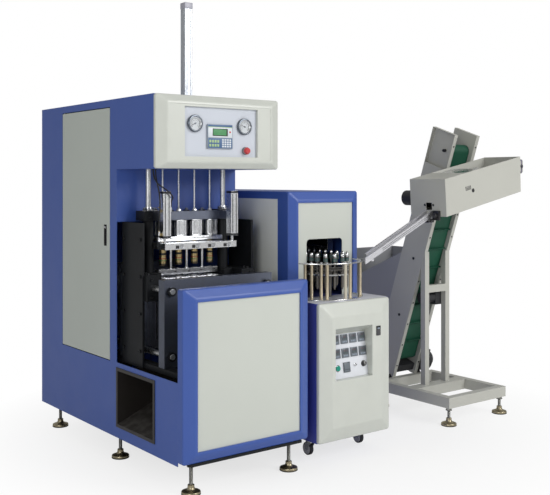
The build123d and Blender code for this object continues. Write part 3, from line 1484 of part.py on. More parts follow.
# Plane across the elevator at one X: its first axis climbs, its second goes from front edge to back
def elevator_plane(x):
    return Plane(
        origin=(x, elevator_foot[0], elevator_foot[1]),
        x_dir=(0, -sin(elevator_tilt), cos(elevator_tilt)),
        z_dir=(-1, 0, 0),
    )


# Point on the elevator, given along its climb and through its depth
def on_elevator(x, climb, depth):
    y = elevator_foot[0] - climb * sin(elevator_tilt) + depth * cos(elevator_tilt)
    z = elevator_foot[1] + climb * cos(elevator_tilt) + depth * sin(elevator_tilt)
    return (x, y, z)


head_climb = elevator_length - head_roller_inset
tail_climb = tail_roller_inset
belt_x = (feeder_middle - elevator_spread + belt_side_gap, feeder_middle + elevator_spread - belt_side_gap)

# Elevator sides: two channels with outward flanges, covered below their open heads, on the base frame
with BuildPart() as elevator_sides:
    for side in both_sides:
        web = feeder_middle + side * elevator_spread
        outer = web + side * elevator_flange
        with BuildSketch(elevator_plane(max(web, outer))) as channel:
            with Locations((elevator_length / 2, elevator_depth / 2)):
                Rectangle(elevator_length, elevator_depth)
        extrude(channel.sketch, amount=elevator_flange)
        pocket = web + side * sheet
        cover = outer - side * sheet
        with BuildSketch(elevator_plane(max(pocket, outer + side))) as open_pocket:
            with Locations(((elevator_length - sheet + elevator_cover) / 2, elevator_depth / 2)):
                Rectangle(elevator_length - sheet - elevator_cover, elevator_depth - 2 * sheet)
        extrude(open_pocket.sketch, amount=abs(outer + side - pocket), mode=Mode.SUBTRACT)
        with BuildSketch(elevator_plane(max(pocket, cover))) as covered_pocket:
            with Locations((elevator_cover / 2, elevator_depth / 2)):
                Rectangle(elevator_cover + 2, elevator_depth - 2 * sheet)
        extrude(covered_pocket.sketch, amount=abs(cover - pocket), mode=Mode.SUBTRACT)
        for climb in (head_climb, tail_climb):
            start = on_elevator(web - side, climb, belt_depth)
            end = on_elevator(web + side * (sheet + 1), climb, belt_depth)
            round_bar(start, end, roller_axle + running, Mode.SUBTRACT)
    below_y = (front, host_back)
    block((feeder_left, feeder_right), below_y, (0, frame_top), Mode.SUBTRACT)
elevator_sides.part.label = "elevator_sides"
export_step(elevator_sides.part, "parts/elevator_sides.step")

# Belt: endless band round the two rollers, with cleats across both runs
belt_span = head_climb - tail_climb
belt_outer = roller_radius + loose + belt_thickness
with BuildPart() as elevator_belt:
    with BuildSketch(elevator_plane(belt_x[1])) as band:
        with Locations(((head_climb + tail_climb) / 2, belt_depth)):
            SlotCenterToCenter(belt_span, 2 * belt_outer)
            SlotCenterToCenter(belt_span, 2 * (roller_radius + loose), mode=Mode.SUBTRACT)
        cleat_count = int(belt_span // cleat_spacing)
        with Locations(((head_climb + tail_climb) / 2, belt_depth)):
            for side in both_sides:
                with Locations((0, side * (belt_outer + cleat_height / 2 - 1))):
                    with GridLocations(cleat_spacing, 1, cleat_count, 1):
                        Rectangle(cleat_thickness, cleat_height)
    extrude(band.sketch, amount=belt_x[1] - belt_x[0])
elevator_belt.part.label = "elevator_belt"
export_step(elevator_belt.part, "parts/elevator_belt.step")


# Roller on an axle that turns in the elevator's sides
def elevator_roller(climb):
    ends = elevator_spread + elevator_flange - 6
    start = on_elevator(feeder_middle - ends, climb, belt_depth)
    end = on_elevator(feeder_middle + ends, climb, belt_depth)
    round_bar(start, end, roller_axle)
    start = on_elevator(belt_x[0], climb, belt_depth)
    end = on_elevator(belt_x[1], climb, belt_depth)
    round_bar(start, end, roller_radius)


with BuildPart() as head_roller:
    elevator_roller(head_climb)
head_roller.part.label = "head_roller"
export_step(head_roller.part, "parts/head_roller.step")

with BuildPart() as tail_roller:
    elevator_roller(tail_climb)
tail_roller.part.label = "tail_roller"
export_step(tail_roller.part, "parts/tail_roller.step")

# Sorter box: sloping open-topped box with a short cover, a chute slot and struts to the elevator
sorter_rise = tan(radians(sorter_slope))
sorter_right = sorter_left + sorter_length
sorter_high = sorter_low + sorter_length * sorter_rise
sorter_back = sorter_front + sorter_depth
end_lean = 14
slot_y = (chute_line - rail_gap / 2 - 8, chute_line + rail_gap / 2 + 8)


# Z of the sorter's floor line at an X
def sorter_floor(x):
    return sorter_low + (x - sorter_left) * sorter_rise


roller_lines = []
for side in both_sides:
    roller_lines.append(chute_line + side * (sort_roller_radius + sort_roller_gap / 2))

with BuildPart() as sorter_box:
    outer_points = [
        (sorter_left, sorter_low),
        (sorter_right, sorter_high),
        (sorter_right - end_lean / 2, sorter_high + sorter_height),
        (sorter_left - end_lean, sorter_low + sorter_height),
    ]
    front_profile(outer_points, (sorter_front, sorter_back))
    inner_points = [
        (sorter_left + sheet, sorter_low + sheet + 1),
        (sorter_right - sheet, sorter_high + sheet - 1),
        (sorter_right - end_lean / 2 - sheet, sorter_high + sorter_height - sheet - 1),
        (sorter_left - end_lean + sheet, sorter_low + sorter_height - sheet - 1),
    ]
    front_profile(inner_points, (sorter_front + sheet, sorter_back - sheet), Mode.SUBTRACT)
    mouth_left = sorter_left + sorter_cover
    mouth_right = sorter_right - end_lean / 2 - sheet
    mouth_points = [
        (mouth_left, sorter_floor(mouth_left) + sorter_height - 20),
        (mouth_right, sorter_floor(mouth_right) + sorter_height - 20),
        (mouth_right, sorter_floor(mouth_right) + sorter_height + 20),
        (mouth_left, sorter_floor(mouth_left) + sorter_height + 20),
    ]
    front_profile(mouth_points, (sorter_front + sheet, sorter_back - sheet), Mode.SUBTRACT)
    block((sorter_left - 20, sorter_left + 20), slot_y, (sorter_low + 39, sorter_low + 84), Mode.SUBTRACT)
    for roller_y in roller_lines:
        low = sorter_floor(sorter_left - 10) + sort_roller_lift
        high = sorter_floor(sorter_right + 10) + sort_roller_lift
        start = (sorter_left - 10, roller_y, low)
        round_bar(start, (sorter_right + 10, roller_y, high), sort_journal + running, Mode.SUBTRACT)
    for side in both_sides:
        strut = feeder_middle + side * (elevator_spread + elevator_flange / 2)
        strut_low = sorter_floor(strut) + 40
        strut_high = strut_low + 90
        side_profile(
            [
                (sorter_back, strut_low),
                (elevator_front(strut_low), strut_low),
                (elevator_front(strut_high), strut_high),
                (sorter_back, strut_high),
            ],
            (strut - 12, strut + 12),
        )
    gear_x = (sorter_right - 8, sorter_right + 30)
    block(gear_x, (sorter_front + 6, sorter_front + 86), (sorter_high + 118, sorter_high + 214))
    gear_edges = sorter_box.edges().filter_by(Axis.X)
    fillet(gear_edges.filter_by_position(Axis.X, sorter_right, sorter_right + 40), radius=20)
sorter_box.part.label = "sorter_box"
export_step(sorter_box.part, "parts/sorter_box.step")


# Sorting roller: long smooth roller along the sorter's slope, on two journals
def sorting_roller(roller_y):
    ends = (sorter_left - 4, sorter_right + 2)
    start = (ends[0], roller_y, sorter_floor(ends[0]) + sort_roller_lift)
    round_bar(start, (ends[1], roller_y, sorter_floor(ends[1]) + sort_roller_lift), sort_journal)
    body = (sorter_left + 30, sorter_right - 40)
    start = (body[0], roller_y, sorter_floor(body[0]) + sort_roller_lift)
    round_bar(start, (body[1], roller_y, sorter_floor(body[1]) + sort_roller_lift), sort_roller_radius)


with BuildPart() as front_sorting_roller:
    sorting_roller(roller_lines[0])
front_sorting_roller.part.label = "front_sorting_roller"
export_step(front_sorting_roller.part, "parts/front_sorting_roller.step")

with BuildPart() as rear_sorting_roller:
    sorting_roller(roller_lines[1])
rear_sorting_roller.part.label = "rear_sorting_roller"
export_step(rear_sorting_roller.part, "parts/rear_sorting_roller.step")

# Chute: two inclined rails from the sorter's slot to the loading ring, tied by a foot and a clamp
chute_drop = tan(radians(chute_slope))
rail_rise = rail_height / cos(radians(chute_slope))
wall_lean = end_lean / sorter_height


# Z of the rails' underside at an X
def chute_under(x):
    return sorter_low + (x - sorter_left) * chute_drop


with BuildPart() as chute_rails:
    for side, low_x in ((-1, near_rail_end), (1, far_rail_end)):
        near = chute_line + side * rail_gap / 2
        rail_y = sorted((near, near + side * rail_thickness))
        front_profile(
            [
                (low_x, chute_under(low_x)),
                (sorter_left, sorter_low),
                (sorter_left - rail_rise * wall_lean, sorter_low + rail_rise),
                (low_x, chute_under(low_x) + rail_rise),
            ],
            rail_y,
        )
    half_chute = rail_gap / 2 + rail_thickness
    strap_x = (far_rail_end + 2, far_rail_end + 20)
    strap_y = (chute_line - half_chute, chute_line + half_chute + 40)
    block(strap_x, strap_y, (ring_top, chute_under(strap_x[0]) + 4))
    clamp_x = (sorter_left - 46, sorter_left - 10)
    clamp_y = (chute_line - half_chute - 8, chute_line + half_chute + 8)
    clamp_z = chute_under(clamp_x[0])
    block(clamp_x, clamp_y, (clamp_z - 18, clamp_z + 8))
    knob = (sorter_left - 28, clamp_y[0], clamp_z - 5)
    round_bar((knob[0], knob[1] + 1, knob[2]), (knob[0], knob[1] - 16, knob[2]), 11)
chute_rails.part.label = "chute_rails"
export_step(chute_rails.part, "parts/chute_rails.step")

# Storage bin: hopper on the elevator's rear flanges, its left wall cut lower at the back, open towards
# the belt at its foot
flange_line = elevator_foot[0] + elevator_depth / cos(elevator_tilt)


# Y of the elevator's rear face at a height
def elevator_rear(z):
    return flange_line - (z - elevator_foot[1]) * slope_run


bin_left = feeder_middle - elevator_spread - elevator_flange
bin_outline = [
    (elevator_rear(bin_floor), bin_floor),
    (bin_back, bin_floor + bin_slope),
    (bin_back, bin_rim),
    (elevator_rear(bin_rim), bin_rim),
]
with BuildPart() as storage_bin:
    side_profile(bin_outline, (bin_left, bin_right))
    inner_outline = [
        (elevator_rear(bin_floor) + sheet, bin_floor + sheet),
        (bin_back - sheet, bin_floor + bin_slope + sheet),
        (bin_back - sheet, bin_rim + 1),
        (elevator_rear(bin_rim) + sheet, bin_rim + 1),
    ]
    side_profile(inner_outline, (bin_left + sheet, bin_right - sheet), Mode.SUBTRACT)
    outlet_outline = [
        (elevator_rear(bin_floor + 20) - 10, bin_floor + 20),
        (elevator_rear(bin_floor + 20) + 10, bin_floor + 20),
        (elevator_rear(outlet_top) + 10, outlet_top),
        (elevator_rear(outlet_top) - 10, outlet_top),
    ]
    outlet_half = elevator_spread - 12
    side_profile(outlet_outline, (feeder_middle - outlet_half, feeder_middle + outlet_half), Mode.SUBTRACT)
    low_rim = bin_rim - (bin_back - sheet - elevator_rear(bin_rim)) * bin_fall
    rim_outline = [
        (elevator_rear(bin_rim), bin_rim),
        (bin_back - sheet, low_rim),
        (bin_back - sheet, bin_rim + 1),
        (elevator_rear(bin_rim), bin_rim + 1),
    ]
    side_profile(rim_outline, (bin_left - 1, bin_left + sheet), Mode.SUBTRACT)
storage_bin.part.label = "storage_bin"
export_step(storage_bin.part, "parts/storage_bin.step")

# Drive motors: tail drive on a plate, boot over the tail, cross bar gear motor and sorter motor
motor_line = feeder_middle + elevator_spread + elevator_flange
with BuildPart() as drive_motors:
    with BuildSketch(elevator_plane(motor_line + motor_plate)) as mounting:
        with Locations((tail_climb, elevator_depth / 2 - 30)):
            Rectangle(150, elevator_depth + 60)
    extrude(mounting.sketch, amount=motor_plate)
    motor_face = on_elevator(motor_line + motor_plate - 1, tail_climb - 29, 0)
    round_bar(motor_face, (motor_face[0] + 26, motor_face[1], motor_face[2]), 82)
    round_bar(motor_face, (motor_face[0] + 64, motor_face[1], motor_face[2]), 56)
    boot_x = (feeder_middle - elevator_spread, feeder_middle + elevator_spread)
    with BuildSketch(elevator_plane(boot_x[1])) as boot:
        with Locations((55, elevator_depth / 2)):
            Rectangle(50, elevator_depth - 40)
    extrude(boot.sketch, amount=boot_x[1] - boot_x[0])
    gear_x = (feeder_middle + 25, feeder_middle + 90)
    block(gear_x, (upright_back, upright_back + 50), (cross_bar_bottom - 95, cross_bar_bottom + 10))
    gear_line = (upright_back + 39, cross_bar_bottom - 45)
    round_bar((feeder_middle - 78, *gear_line), (gear_x[0] + 1, *gear_line), 38)
    motor_x = sorter_left + 50
    motor_z = sorter_low + 110
    round_bar((motor_x, sorter_back, motor_z), (motor_x, sorter_back + 90, motor_z), 48)
drive_motors.part.label = "drive_motors"
export_step(drive_motors.part, "parts/drive_motors.step")
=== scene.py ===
import math

import bmesh
import bpy
from mathutils import Matrix, Vector


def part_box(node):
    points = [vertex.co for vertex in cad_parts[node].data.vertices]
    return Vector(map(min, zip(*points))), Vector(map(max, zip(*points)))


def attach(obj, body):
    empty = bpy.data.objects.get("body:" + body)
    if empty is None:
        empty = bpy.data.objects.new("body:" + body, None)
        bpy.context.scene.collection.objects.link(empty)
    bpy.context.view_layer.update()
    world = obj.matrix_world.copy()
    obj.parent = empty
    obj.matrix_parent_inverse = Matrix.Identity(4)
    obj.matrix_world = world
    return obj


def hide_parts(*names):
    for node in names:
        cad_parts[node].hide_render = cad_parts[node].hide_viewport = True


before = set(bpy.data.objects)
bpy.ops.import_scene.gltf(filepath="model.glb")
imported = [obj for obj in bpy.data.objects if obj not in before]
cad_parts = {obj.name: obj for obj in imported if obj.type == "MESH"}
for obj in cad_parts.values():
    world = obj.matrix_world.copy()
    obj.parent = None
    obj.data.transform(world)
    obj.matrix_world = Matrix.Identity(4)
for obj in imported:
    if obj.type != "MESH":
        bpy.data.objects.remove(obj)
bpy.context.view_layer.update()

# The photographer's place: a level camera at a standing person's eye height, in front of the row's
# left corner, with the lens shifted down. It comes from a fit of the cabinets' edges.
blowing_unit_left = -1.318
front_line = -0.807
left_of_row, before_row, eye_height = 2.3278, 3.8139, 1.5852
turned_right = math.radians(-37.373)
camera_data = bpy.data.cameras.new("photographer")
camera_data.sensor_width = 36.0
camera_data.lens = 58.87
camera_data.shift_y = -0.1237
camera_data.clip_end = 100.0
camera = bpy.data.objects.new("photographer", camera_data)
camera.location = (blowing_unit_left - left_of_row, front_line - before_row, eye_height)
camera.rotation_euler = (math.radians(90), 0, turned_right)
bpy.context.collection.objects.link(camera)
bpy.context.scene.camera = camera

# The studio: a white floor that fades into a white backdrop, one large soft box in front on the
# right, a small one in front on the left, and even light from all round.
scene = bpy.context.scene
scene.view_settings.view_transform = "Standard"


def feed(tree, source, target):
    """Joins an output socket to an input socket, or sets the input to a plain value."""
    if isinstance(source, bpy.types.NodeSocket):
        tree.links.new(source, target)
    else:
        target.default_value = source


def add_node(tree, kind, inputs=None, **settings):
    """One shader node, with its settings, and what its inputs take, by number or by name."""
    made = tree.nodes.new("ShaderNode" + kind)
    for key, value in settings.items():
        setattr(made, key, value)
    for key, source in (inputs or {}).items():
        feed(tree, source, made.inputs[key])
    return made


def soft_box(name, place, aim, size, power):
    """A square studio lamp that faces a point of the row."""
    data = bpy.data.lights.new(name, "AREA")
    data.shape = "SQUARE"
    data.size = size
    data.energy = power
    lamp = bpy.data.objects.new(name, data)
    lamp.location = place
    lamp.rotation_euler = (Vector(aim) - Vector(place)).to_track_quat("-Z", "Y").to_euler()
    bpy.context.collection.objects.link(lamp)


soft_box("front_soft_box", place=(2.6, -7.4, 4.6), aim=(-0.2, 0.0, 1.0), size=4.0, power=340)
soft_box("left_soft_box", place=(-5.9, -4.3, 2.7), aim=(-0.6, 0.0, 1.0), size=2.6, power=84)

world = bpy.data.worlds.new("studio")
scene.world = world
world.use_nodes = True
sky = world.node_tree
sky.nodes.clear()
direction = add_node(sky, "TexCoord").outputs["Generated"]
height = add_node(sky, "SeparateXYZ", {0: direction}).outputs["Z"]
walls = add_node(sky, "ValToRGB", {"Fac": height})
low_wall, high_wall = walls.color_ramp.elements
low_wall.position, low_wall.color = 0.30, (0.51, 0.51, 0.50, 1)
high_wall.position, high_wall.color = 0.95, (0.79, 0.79, 0.78, 1)
around = add_node(sky, "Background", {"Color": walls.outputs["Color"], "Strength": 0.64})
seen = add_node(sky, "Background", {"Color": (1, 1, 1, 1), "Strength": 1.0})
ray = add_node(sky, "LightPath").outputs["Is Camera Ray"]
choice = add_node(sky, "MixShader", {0: ray, 1: around.outputs[0], 2: seen.outputs[0]})
add_node(sky, "OutputWorld", {0: choice.outputs[0]})

floor_mesh = bpy.data.meshes.new("studio_floor")
floor_half = 30.0
floor_corners = [(x * floor_half, y * floor_half, 0) for x, y in ((-1, -1), (1, -1), (1, 1), (-1, 1))]
floor_mesh.from_pydata(floor_corners, [], [(0, 1, 2, 3)])
studio_floor = bpy.data.objects.new("studio_floor", floor_mesh)
bpy.context.collection.objects.link(studio_floor)
floor_paint = bpy.data.materials.new("studio_floor")
floor_paint.use_nodes = True
tree = floor_paint.node_tree
surface = tree.nodes["Principled BSDF"]
surface.inputs["Base Color"].default_value = (0.93, 0.93, 0.93, 1)
surface.inputs["Roughness"].default_value = 0.9
glow = add_node(tree, "Emission", {"Color": (1, 1, 1, 1)})
ray = add_node(tree, "LightPath").outputs["Is Camera Ray"]
spot = add_node(tree, "TexCoord").outputs["Object"]
reach = add_node(tree, "VectorMath", {0: spot}, operation="LENGTH").outputs["Value"]
clear_floor, white_floor, dimmed = 1.0, 2.1, 0.72
fade = add_node(tree, "MapRange", {0: reach, 1: clear_floor, 2: white_floor, 3: dimmed, 4: 1.0})
level = add_node(tree, "Math", {0: ray, 1: fade.outputs[0]}, operation="MULTIPLY")
both = add_node(tree, "MixShader", {0: level.outputs[0], 1: surface.outputs[0], 2: glow.outputs[0]})
feed(tree, both.outputs[0], tree.nodes["Material Output"].inputs["Surface"])
floor_mesh.materials.append(floor_paint)

# The blowing unit's cabinet: steel sheets folded and welded, with blue powder coat that is slightly
# orange-peeled and rubbed along the folds.


def new_group(name, inputs, outputs):
    """A shader group with named sockets, and its two ends."""
    group = bpy.data.node_groups.new(name, "ShaderNodeTree")
    for label, kind, value in inputs:
        made = group.interface.new_socket(name=label, in_out="INPUT", socket_type=kind)
        made.default_value = value
    for label, kind in outputs:
        group.interface.new_socket(name=label, in_out="OUTPUT", socket_type=kind)
    return group, group.nodes.new("NodeGroupInput"), group.nodes.new("NodeGroupOutput")


def noise(tree, coordinates, scale, detail=2.0):
    """A noise value over the given coordinates."""
    return add_node(tree, "TexNoise", {"Vector": coordinates, "Scale": scale, "Detail": detail}).outputs[0]


def rescale(tree, value, low, high, to_low, to_high):
    """Maps one range of values to another, held at its ends."""
    return add_node(tree, "MapRange", {0: value, 1: low, 2: high, 3: to_low, 4: to_high}).outputs[0]


def blend_colour(tree, factor, first, second):
    """Mixes two colours by a factor."""
    return add_node(tree, "Mix", {0: factor, 6: first, 7: second}, data_type="RGBA").outputs[2]


def total(tree, first, second):
    """Two values added up."""
    return add_node(tree, "Math", {0: first, 1: second}, operation="ADD").outputs[0]


def product(tree, first, second):
    """Two values multiplied."""
    return add_node(tree, "Math", {0: first, 1: second}, operation="MULTIPLY").outputs[0]


def bump(tree, strength, height, under, distance):
    """The normal of a finely uneven skin over another normal."""
    inputs = {"Strength": strength, "Distance": distance, "Height": height, "Normal": under}
    return add_node(tree, "Bump", inputs).outputs[0]


def scale_colour(tree, colour, factor):
    """A colour made lighter or darker by a factor."""
    return add_node(tree, "VectorMath", {0: colour, "Scale": factor}, operation="SCALE").outputs[0]


COLOUR, NUMBER, ARROW = "NodeSocketColor", "NodeSocketFloat", "NodeSocketVector"
SURFACE = [("Colour", COLOUR), ("Roughness", NUMBER), ("Normal", ARROW)]

rubbed, start, end = new_group(
    "rubbed_edges",
    [("Width", NUMBER, 0.002), ("Amount", NUMBER, 0.5)],
    [("Mask", NUMBER), ("Normal", ARROW)],
)
round_normal = add_node(rubbed, "Bevel", {"Radius": start.outputs["Width"]}, samples=4).outputs[0]
flat_normal = add_node(rubbed, "NewGeometry").outputs["Normal"]
likeness = add_node(rubbed, "VectorMath", {0: round_normal, 1: flat_normal}, operation="DOT_PRODUCT")
edge = rescale(rubbed, likeness.outputs["Value"], 0.995, 0.80, 0.0, 1.0)
where = add_node(rubbed, "TexCoord").outputs["Object"]
chipped = rescale(rubbed, noise(rubbed, where, 9.0, 6.0), 0.50, 0.66, 0.0, 1.0)
worn = product(rubbed, product(rubbed, edge, chipped), start.outputs["Amount"])
feed(rubbed, worn, end.inputs["Mask"])
feed(rubbed, round_normal, end.inputs["Normal"])


def edges_of(tree, width):
    """The rubbed-edge effect inside another group, at one width."""
    return add_node(tree, "Group", {"Width": width}, node_tree=rubbed)


coat, start, end = new_group(
    "powder_coat",
    [
        ("Colour", COLOUR, (0.5, 0.5, 0.5, 1)),
        ("Bare", COLOUR, (0.35, 0.35, 0.36, 1)),
        ("Gloss", NUMBER, 0.4),
        ("Peel", NUMBER, 0.25),
        ("Rub", NUMBER, 0.5),
        ("Dust", NUMBER, 0.15),
    ],
    SURFACE,
)
where = add_node(coat, "TexCoord").outputs["Object"]
tone = rescale(coat, noise(coat, where, 2.2, 4.0), 0.3, 0.7, 0.985, 1.015)
edges = edges_of(coat, 0.0016)
feed(coat, start.outputs["Rub"], edges.inputs["Amount"])
toned = scale_colour(coat, start.outputs["Colour"], tone)
painted = blend_colour(coat, edges.outputs["Mask"], toned, start.outputs["Bare"])
facing = add_node(coat, "NewGeometry").outputs["Normal"]
upward = add_node(coat, "SeparateXYZ", {0: facing})
settled = rescale(coat, upward.outputs["Z"], 0.6, 1.0, 0.0, 1.0)
specks = rescale(coat, noise(coat, where, 24.0, 8.0), 0.42, 0.7, 0.1, 1.0)
film = product(coat, product(coat, settled, specks), start.outputs["Dust"])
dust_grey = (0.45, 0.44, 0.41, 1)
feed(coat, blend_colour(coat, film, painted, dust_grey), end.inputs["Colour"])
smears = rescale(coat, noise(coat, where, 5.5, 6.0), 0.35, 0.7, -0.03, 0.05)
matt = total(coat, start.outputs["Gloss"], smears)
feed(coat, total(coat, matt, product(coat, film, 0.4)), end.inputs["Roughness"])
peel = noise(coat, where, 420.0, 1.0)
skin = bump(coat, start.outputs["Peel"], peel, edges.outputs["Normal"], 0.0003)
feed(coat, skin, end.inputs["Normal"])


def finish_from(effect, name, values, own):
    """A material whose colour, roughness and normal come from one shared effect."""
    made = bpy.data.materials.new(name)
    made.use_nodes = True
    tree = made.node_tree
    shader = tree.nodes["Principled BSDF"]
    for label, value in own.items():
        shader.inputs[label].default_value = value
    layer = add_node(tree, "Group", values, node_tree=effect)
    for label, socket in (("Colour", "Base Color"), ("Roughness", "Roughness"), ("Normal", "Normal")):
        feed(tree, layer.outputs[label], shader.inputs[socket])
    return made


def painted_steel(name, colour, gloss=0.38, rub=0.45, dust=0.15, bare=(0.32, 0.32, 0.33), specular=0.5):
    """A powder-coated finish in one colour."""
    values = {"Colour": (*colour, 1), "Bare": (*bare, 1), "Gloss": gloss, "Peel": 0.25,
              "Rub": rub, "Dust": dust}
    lacquer = {"Coat Weight": 0.12, "Coat Roughness": 0.25, "Specular IOR Level": specular}
    return finish_from(coat, name, values, lacquer)


def wear(material, *names):
    """Gives CAD nodes their finish."""
    for name in names:
        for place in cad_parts[name].material_slots:
            place.material = material


blue_coat = painted_steel("blue_coat", (0.041, 0.096, 0.375), gloss=0.38)
wear(blue_coat, "left_side_sheet", "right_side_sheet", "cabinet_wrap", "head_housing")

# The machine frame under and inside the cabinet: welded rails, side plates, posts and guide
# blocks, painted black, with socket screws where the blocks are bolted.
black_coat = painted_steel("black_coat", (0.010, 0.011, 0.013), gloss=0.52, rub=0.4, dust=0.03,
                           bare=(0.12, 0.12, 0.13), specular=0.16)
wear(black_coat, "machine_frame")

grain, start, end = new_group(
    "tool_marks",
    [
        ("Colour", COLOUR, (0.6, 0.6, 0.62, 1)),
        ("Polish", NUMBER, 0.3),
        ("Depth", NUMBER, 0.2),
        ("Along", ARROW, (1, 1, 1)),
        ("Grime", NUMBER, 0.2),
    ],
    SURFACE,
)
where = add_node(grain, "TexCoord").outputs["Object"]
pull = add_node(grain, "VectorMath", {0: where, 1: start.outputs["Along"]}, operation="MULTIPLY")
lines = noise(grain, pull.outputs[0], 260.0, 3.0)
stains = rescale(grain, noise(grain, where, 18.0, 6.0), 0.52, 0.75, 0.0, 1.0)
shade = scale_colour(grain, start.outputs["Colour"], rescale(grain, lines, 0.3, 0.7, 0.90, 1.08))
dirt = product(grain, stains, start.outputs["Grime"])
oil_brown = (0.10, 0.085, 0.06, 1)
feed(grain, blend_colour(grain, dirt, shade, oil_brown), end.inputs["Colour"])
rough = total(grain, start.outputs["Polish"], rescale(grain, lines, 0.3, 0.7, -0.06, 0.08))
feed(grain, total(grain, rough, product(grain, dirt, 0.3)), end.inputs["Roughness"])
edges = edges_of(grain, 0.0012)
scratch = bump(grain, start.outputs["Depth"], lines, edges.outputs["Normal"], 0.0002)
feed(grain, scratch, end.inputs["Normal"])


def bare_metal(name, colour, polish=0.3, depth=0.2, along=(1, 1, 1), grime=0.15):
    """An unpainted metal with the marks of its making."""
    values = {"Colour": (*colour, 1), "Polish": polish, "Depth": depth, "Along": along, "Grime": grime}
    return finish_from(grain, name, values, {"Metallic": 1.0})


def mm(*points):
    """An outline written in millimetres, as metres."""
    return [(point[0] / 1000, point[1] / 1000, *point[2:]) for point in points]


def hexagon(angle):
    """How far a hexagon's side lies from its middle at an angle, as a share of its corners' radius."""
    return math.cos(math.pi / 6) / math.cos((angle % (math.pi / 3)) - math.pi / 6)


def turned(mesh, outline, place, facing, sides=32, arc=(0.0, 2 * math.pi)):
    """Adds a form turned on a lathe: outline points are (radius, along) or (radius, along, True)
    where the form is six-sided. An arc shorter than a turn is closed where its outline is."""
    whole = abs(arc[1] - arc[0] - 2 * math.pi) < 0.001
    upright = Vector(facing).z > 0.999
    spin = Matrix.Identity(3) if upright else Vector(facing).to_track_quat("Z", "Y").to_matrix()
    rings = []
    steps = sides if whole else sides + 1
    for point in outline:
        ring = []
        if point[0] < 0.0000001:
            tip = mesh.verts.new(Vector(place) + spin @ Vector((0, 0, point[1])))
            rings.append([tip] * steps)
            continue
        for number in range(steps):
            angle = arc[0] + (arc[1] - arc[0]) * number / sides
            reach = point[0] * (hexagon(angle) if len(point) > 2 else 1.0)
            spot = Vector((reach * math.cos(angle), reach * math.sin(angle), point[1]))
            ring.append(mesh.verts.new(Vector(place) + spin @ spot))
        rings.append(ring)
    for low, high in zip(rings, rings[1:]):
        for number in range(sides):
            following = (number + 1) % steps
            corners = []
            for vertex in (low[number], low[following], high[following], high[number]):
                if vertex not in corners:
                    corners.append(vertex)
            if len(corners) > 2:
                mesh.faces.new(corners)
    if not whole and outline[0] == outline[-1]:
        for end in (0, -1):
            mesh.faces.new([ring[end] for ring in rings[:-1]])


def slab(mesh, low, high, bevel=0.001, turn=None):
    """Adds a block with eased edges between two corners; turn is an optional matrix."""
    middle = (Vector(low) + Vector(high)) / 2
    size = Vector(high) - Vector(low)
    matrix = Matrix.Translation(middle) @ Matrix.Diagonal((*size, 1.0))
    if turn:
        matrix = turn @ matrix
    made = bmesh.ops.create_cube(mesh, size=1.0, matrix=matrix)
    rims = {rim for vertex in made["verts"] for rim in vertex.link_edges}
    if bevel:
        bmesh.ops.bevel(mesh, geom=list(rims), offset=bevel, segments=2, profile=0.5, affect="EDGES")


def piece(name, mesh, finish, body="row", crease=35):
    """Puts a finished mesh in the scene as a named piece that rides on its body."""
    bmesh.ops.recalc_face_normals(mesh, faces=mesh.faces)
    data = bpy.data.meshes.new(name)
    mesh.to_mesh(data)
    mesh.free()
    data.shade_smooth()
    data.set_sharp_from_angle(angle=math.radians(crease))
    data.materials.append(finish)
    made = bpy.data.objects.new(name, data)
    bpy.context.collection.objects.link(made)
    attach(made, body)
    return made


def socket_screw(mesh, place, facing, radius, height):
    """Adds the head of a hexagon socket screw."""
    key = radius * 0.58
    outline = [(radius, 0), (radius, height * 0.88), (radius * 0.9, height), (radius * 0.62, height),
               (key, height, True), (key, height * 0.45, True), (0, height * 0.4)]
    turned(mesh, outline, place, facing, sides=24)


def hexagon_nut(mesh, place, facing, radius, height, bore):
    """Adds a chamfered hexagon nut on a stud of the given radius."""
    outline = [(bore, 0), (radius * 0.94, 0), (radius, height * 0.12, True), (radius, height * 0.88, True),
               (radius * 0.86, height), (bore, height)]
    turned(mesh, outline, place, facing, sides=24)


up, to_front, to_left = (0, 0, 1), (0, -1, 0), (-1, 0, 0)


def at(x, y, z):
    """A point given from the blowing unit's left side and the front line, in metres."""
    return Vector((blowing_unit_left + x, front_line + y, z))


zinc = bare_metal("zinc_plate", (0.66, 0.67, 0.68), polish=0.22, grime=0.1)
black_oxide_and_groove_shade = bare_metal("black_oxide_and_groove_shade", (0.055, 0.057, 0.062), polish=0.34, grime=0.1)

screws = bmesh.new()
guide_front, guide_top = 0.420, 1.070
for guide_x in (0.0735, 0.7265):
    for guide_z in (0.952, 1.048):
        socket_screw(screws, at(guide_x, guide_front, guide_z), to_front, 0.008, 0.008)
    for guide_y in (0.452, 0.486):
        socket_screw(screws, at(guide_x, guide_y, guide_top), up, 0.009, 0.009)
for plate_x, way in ((0.035, -1), (0.765, 1)):
    for plate_z in (0.66, 0.86, 1.06, 1.26):
        for plate_y in (0.475, 0.655):
            socket_screw(screws, at(plate_x, plate_y, plate_z), (way, 0, 0), 0.009, 0.008)
piece("frame_screws", screws, black_oxide_and_groove_shade)

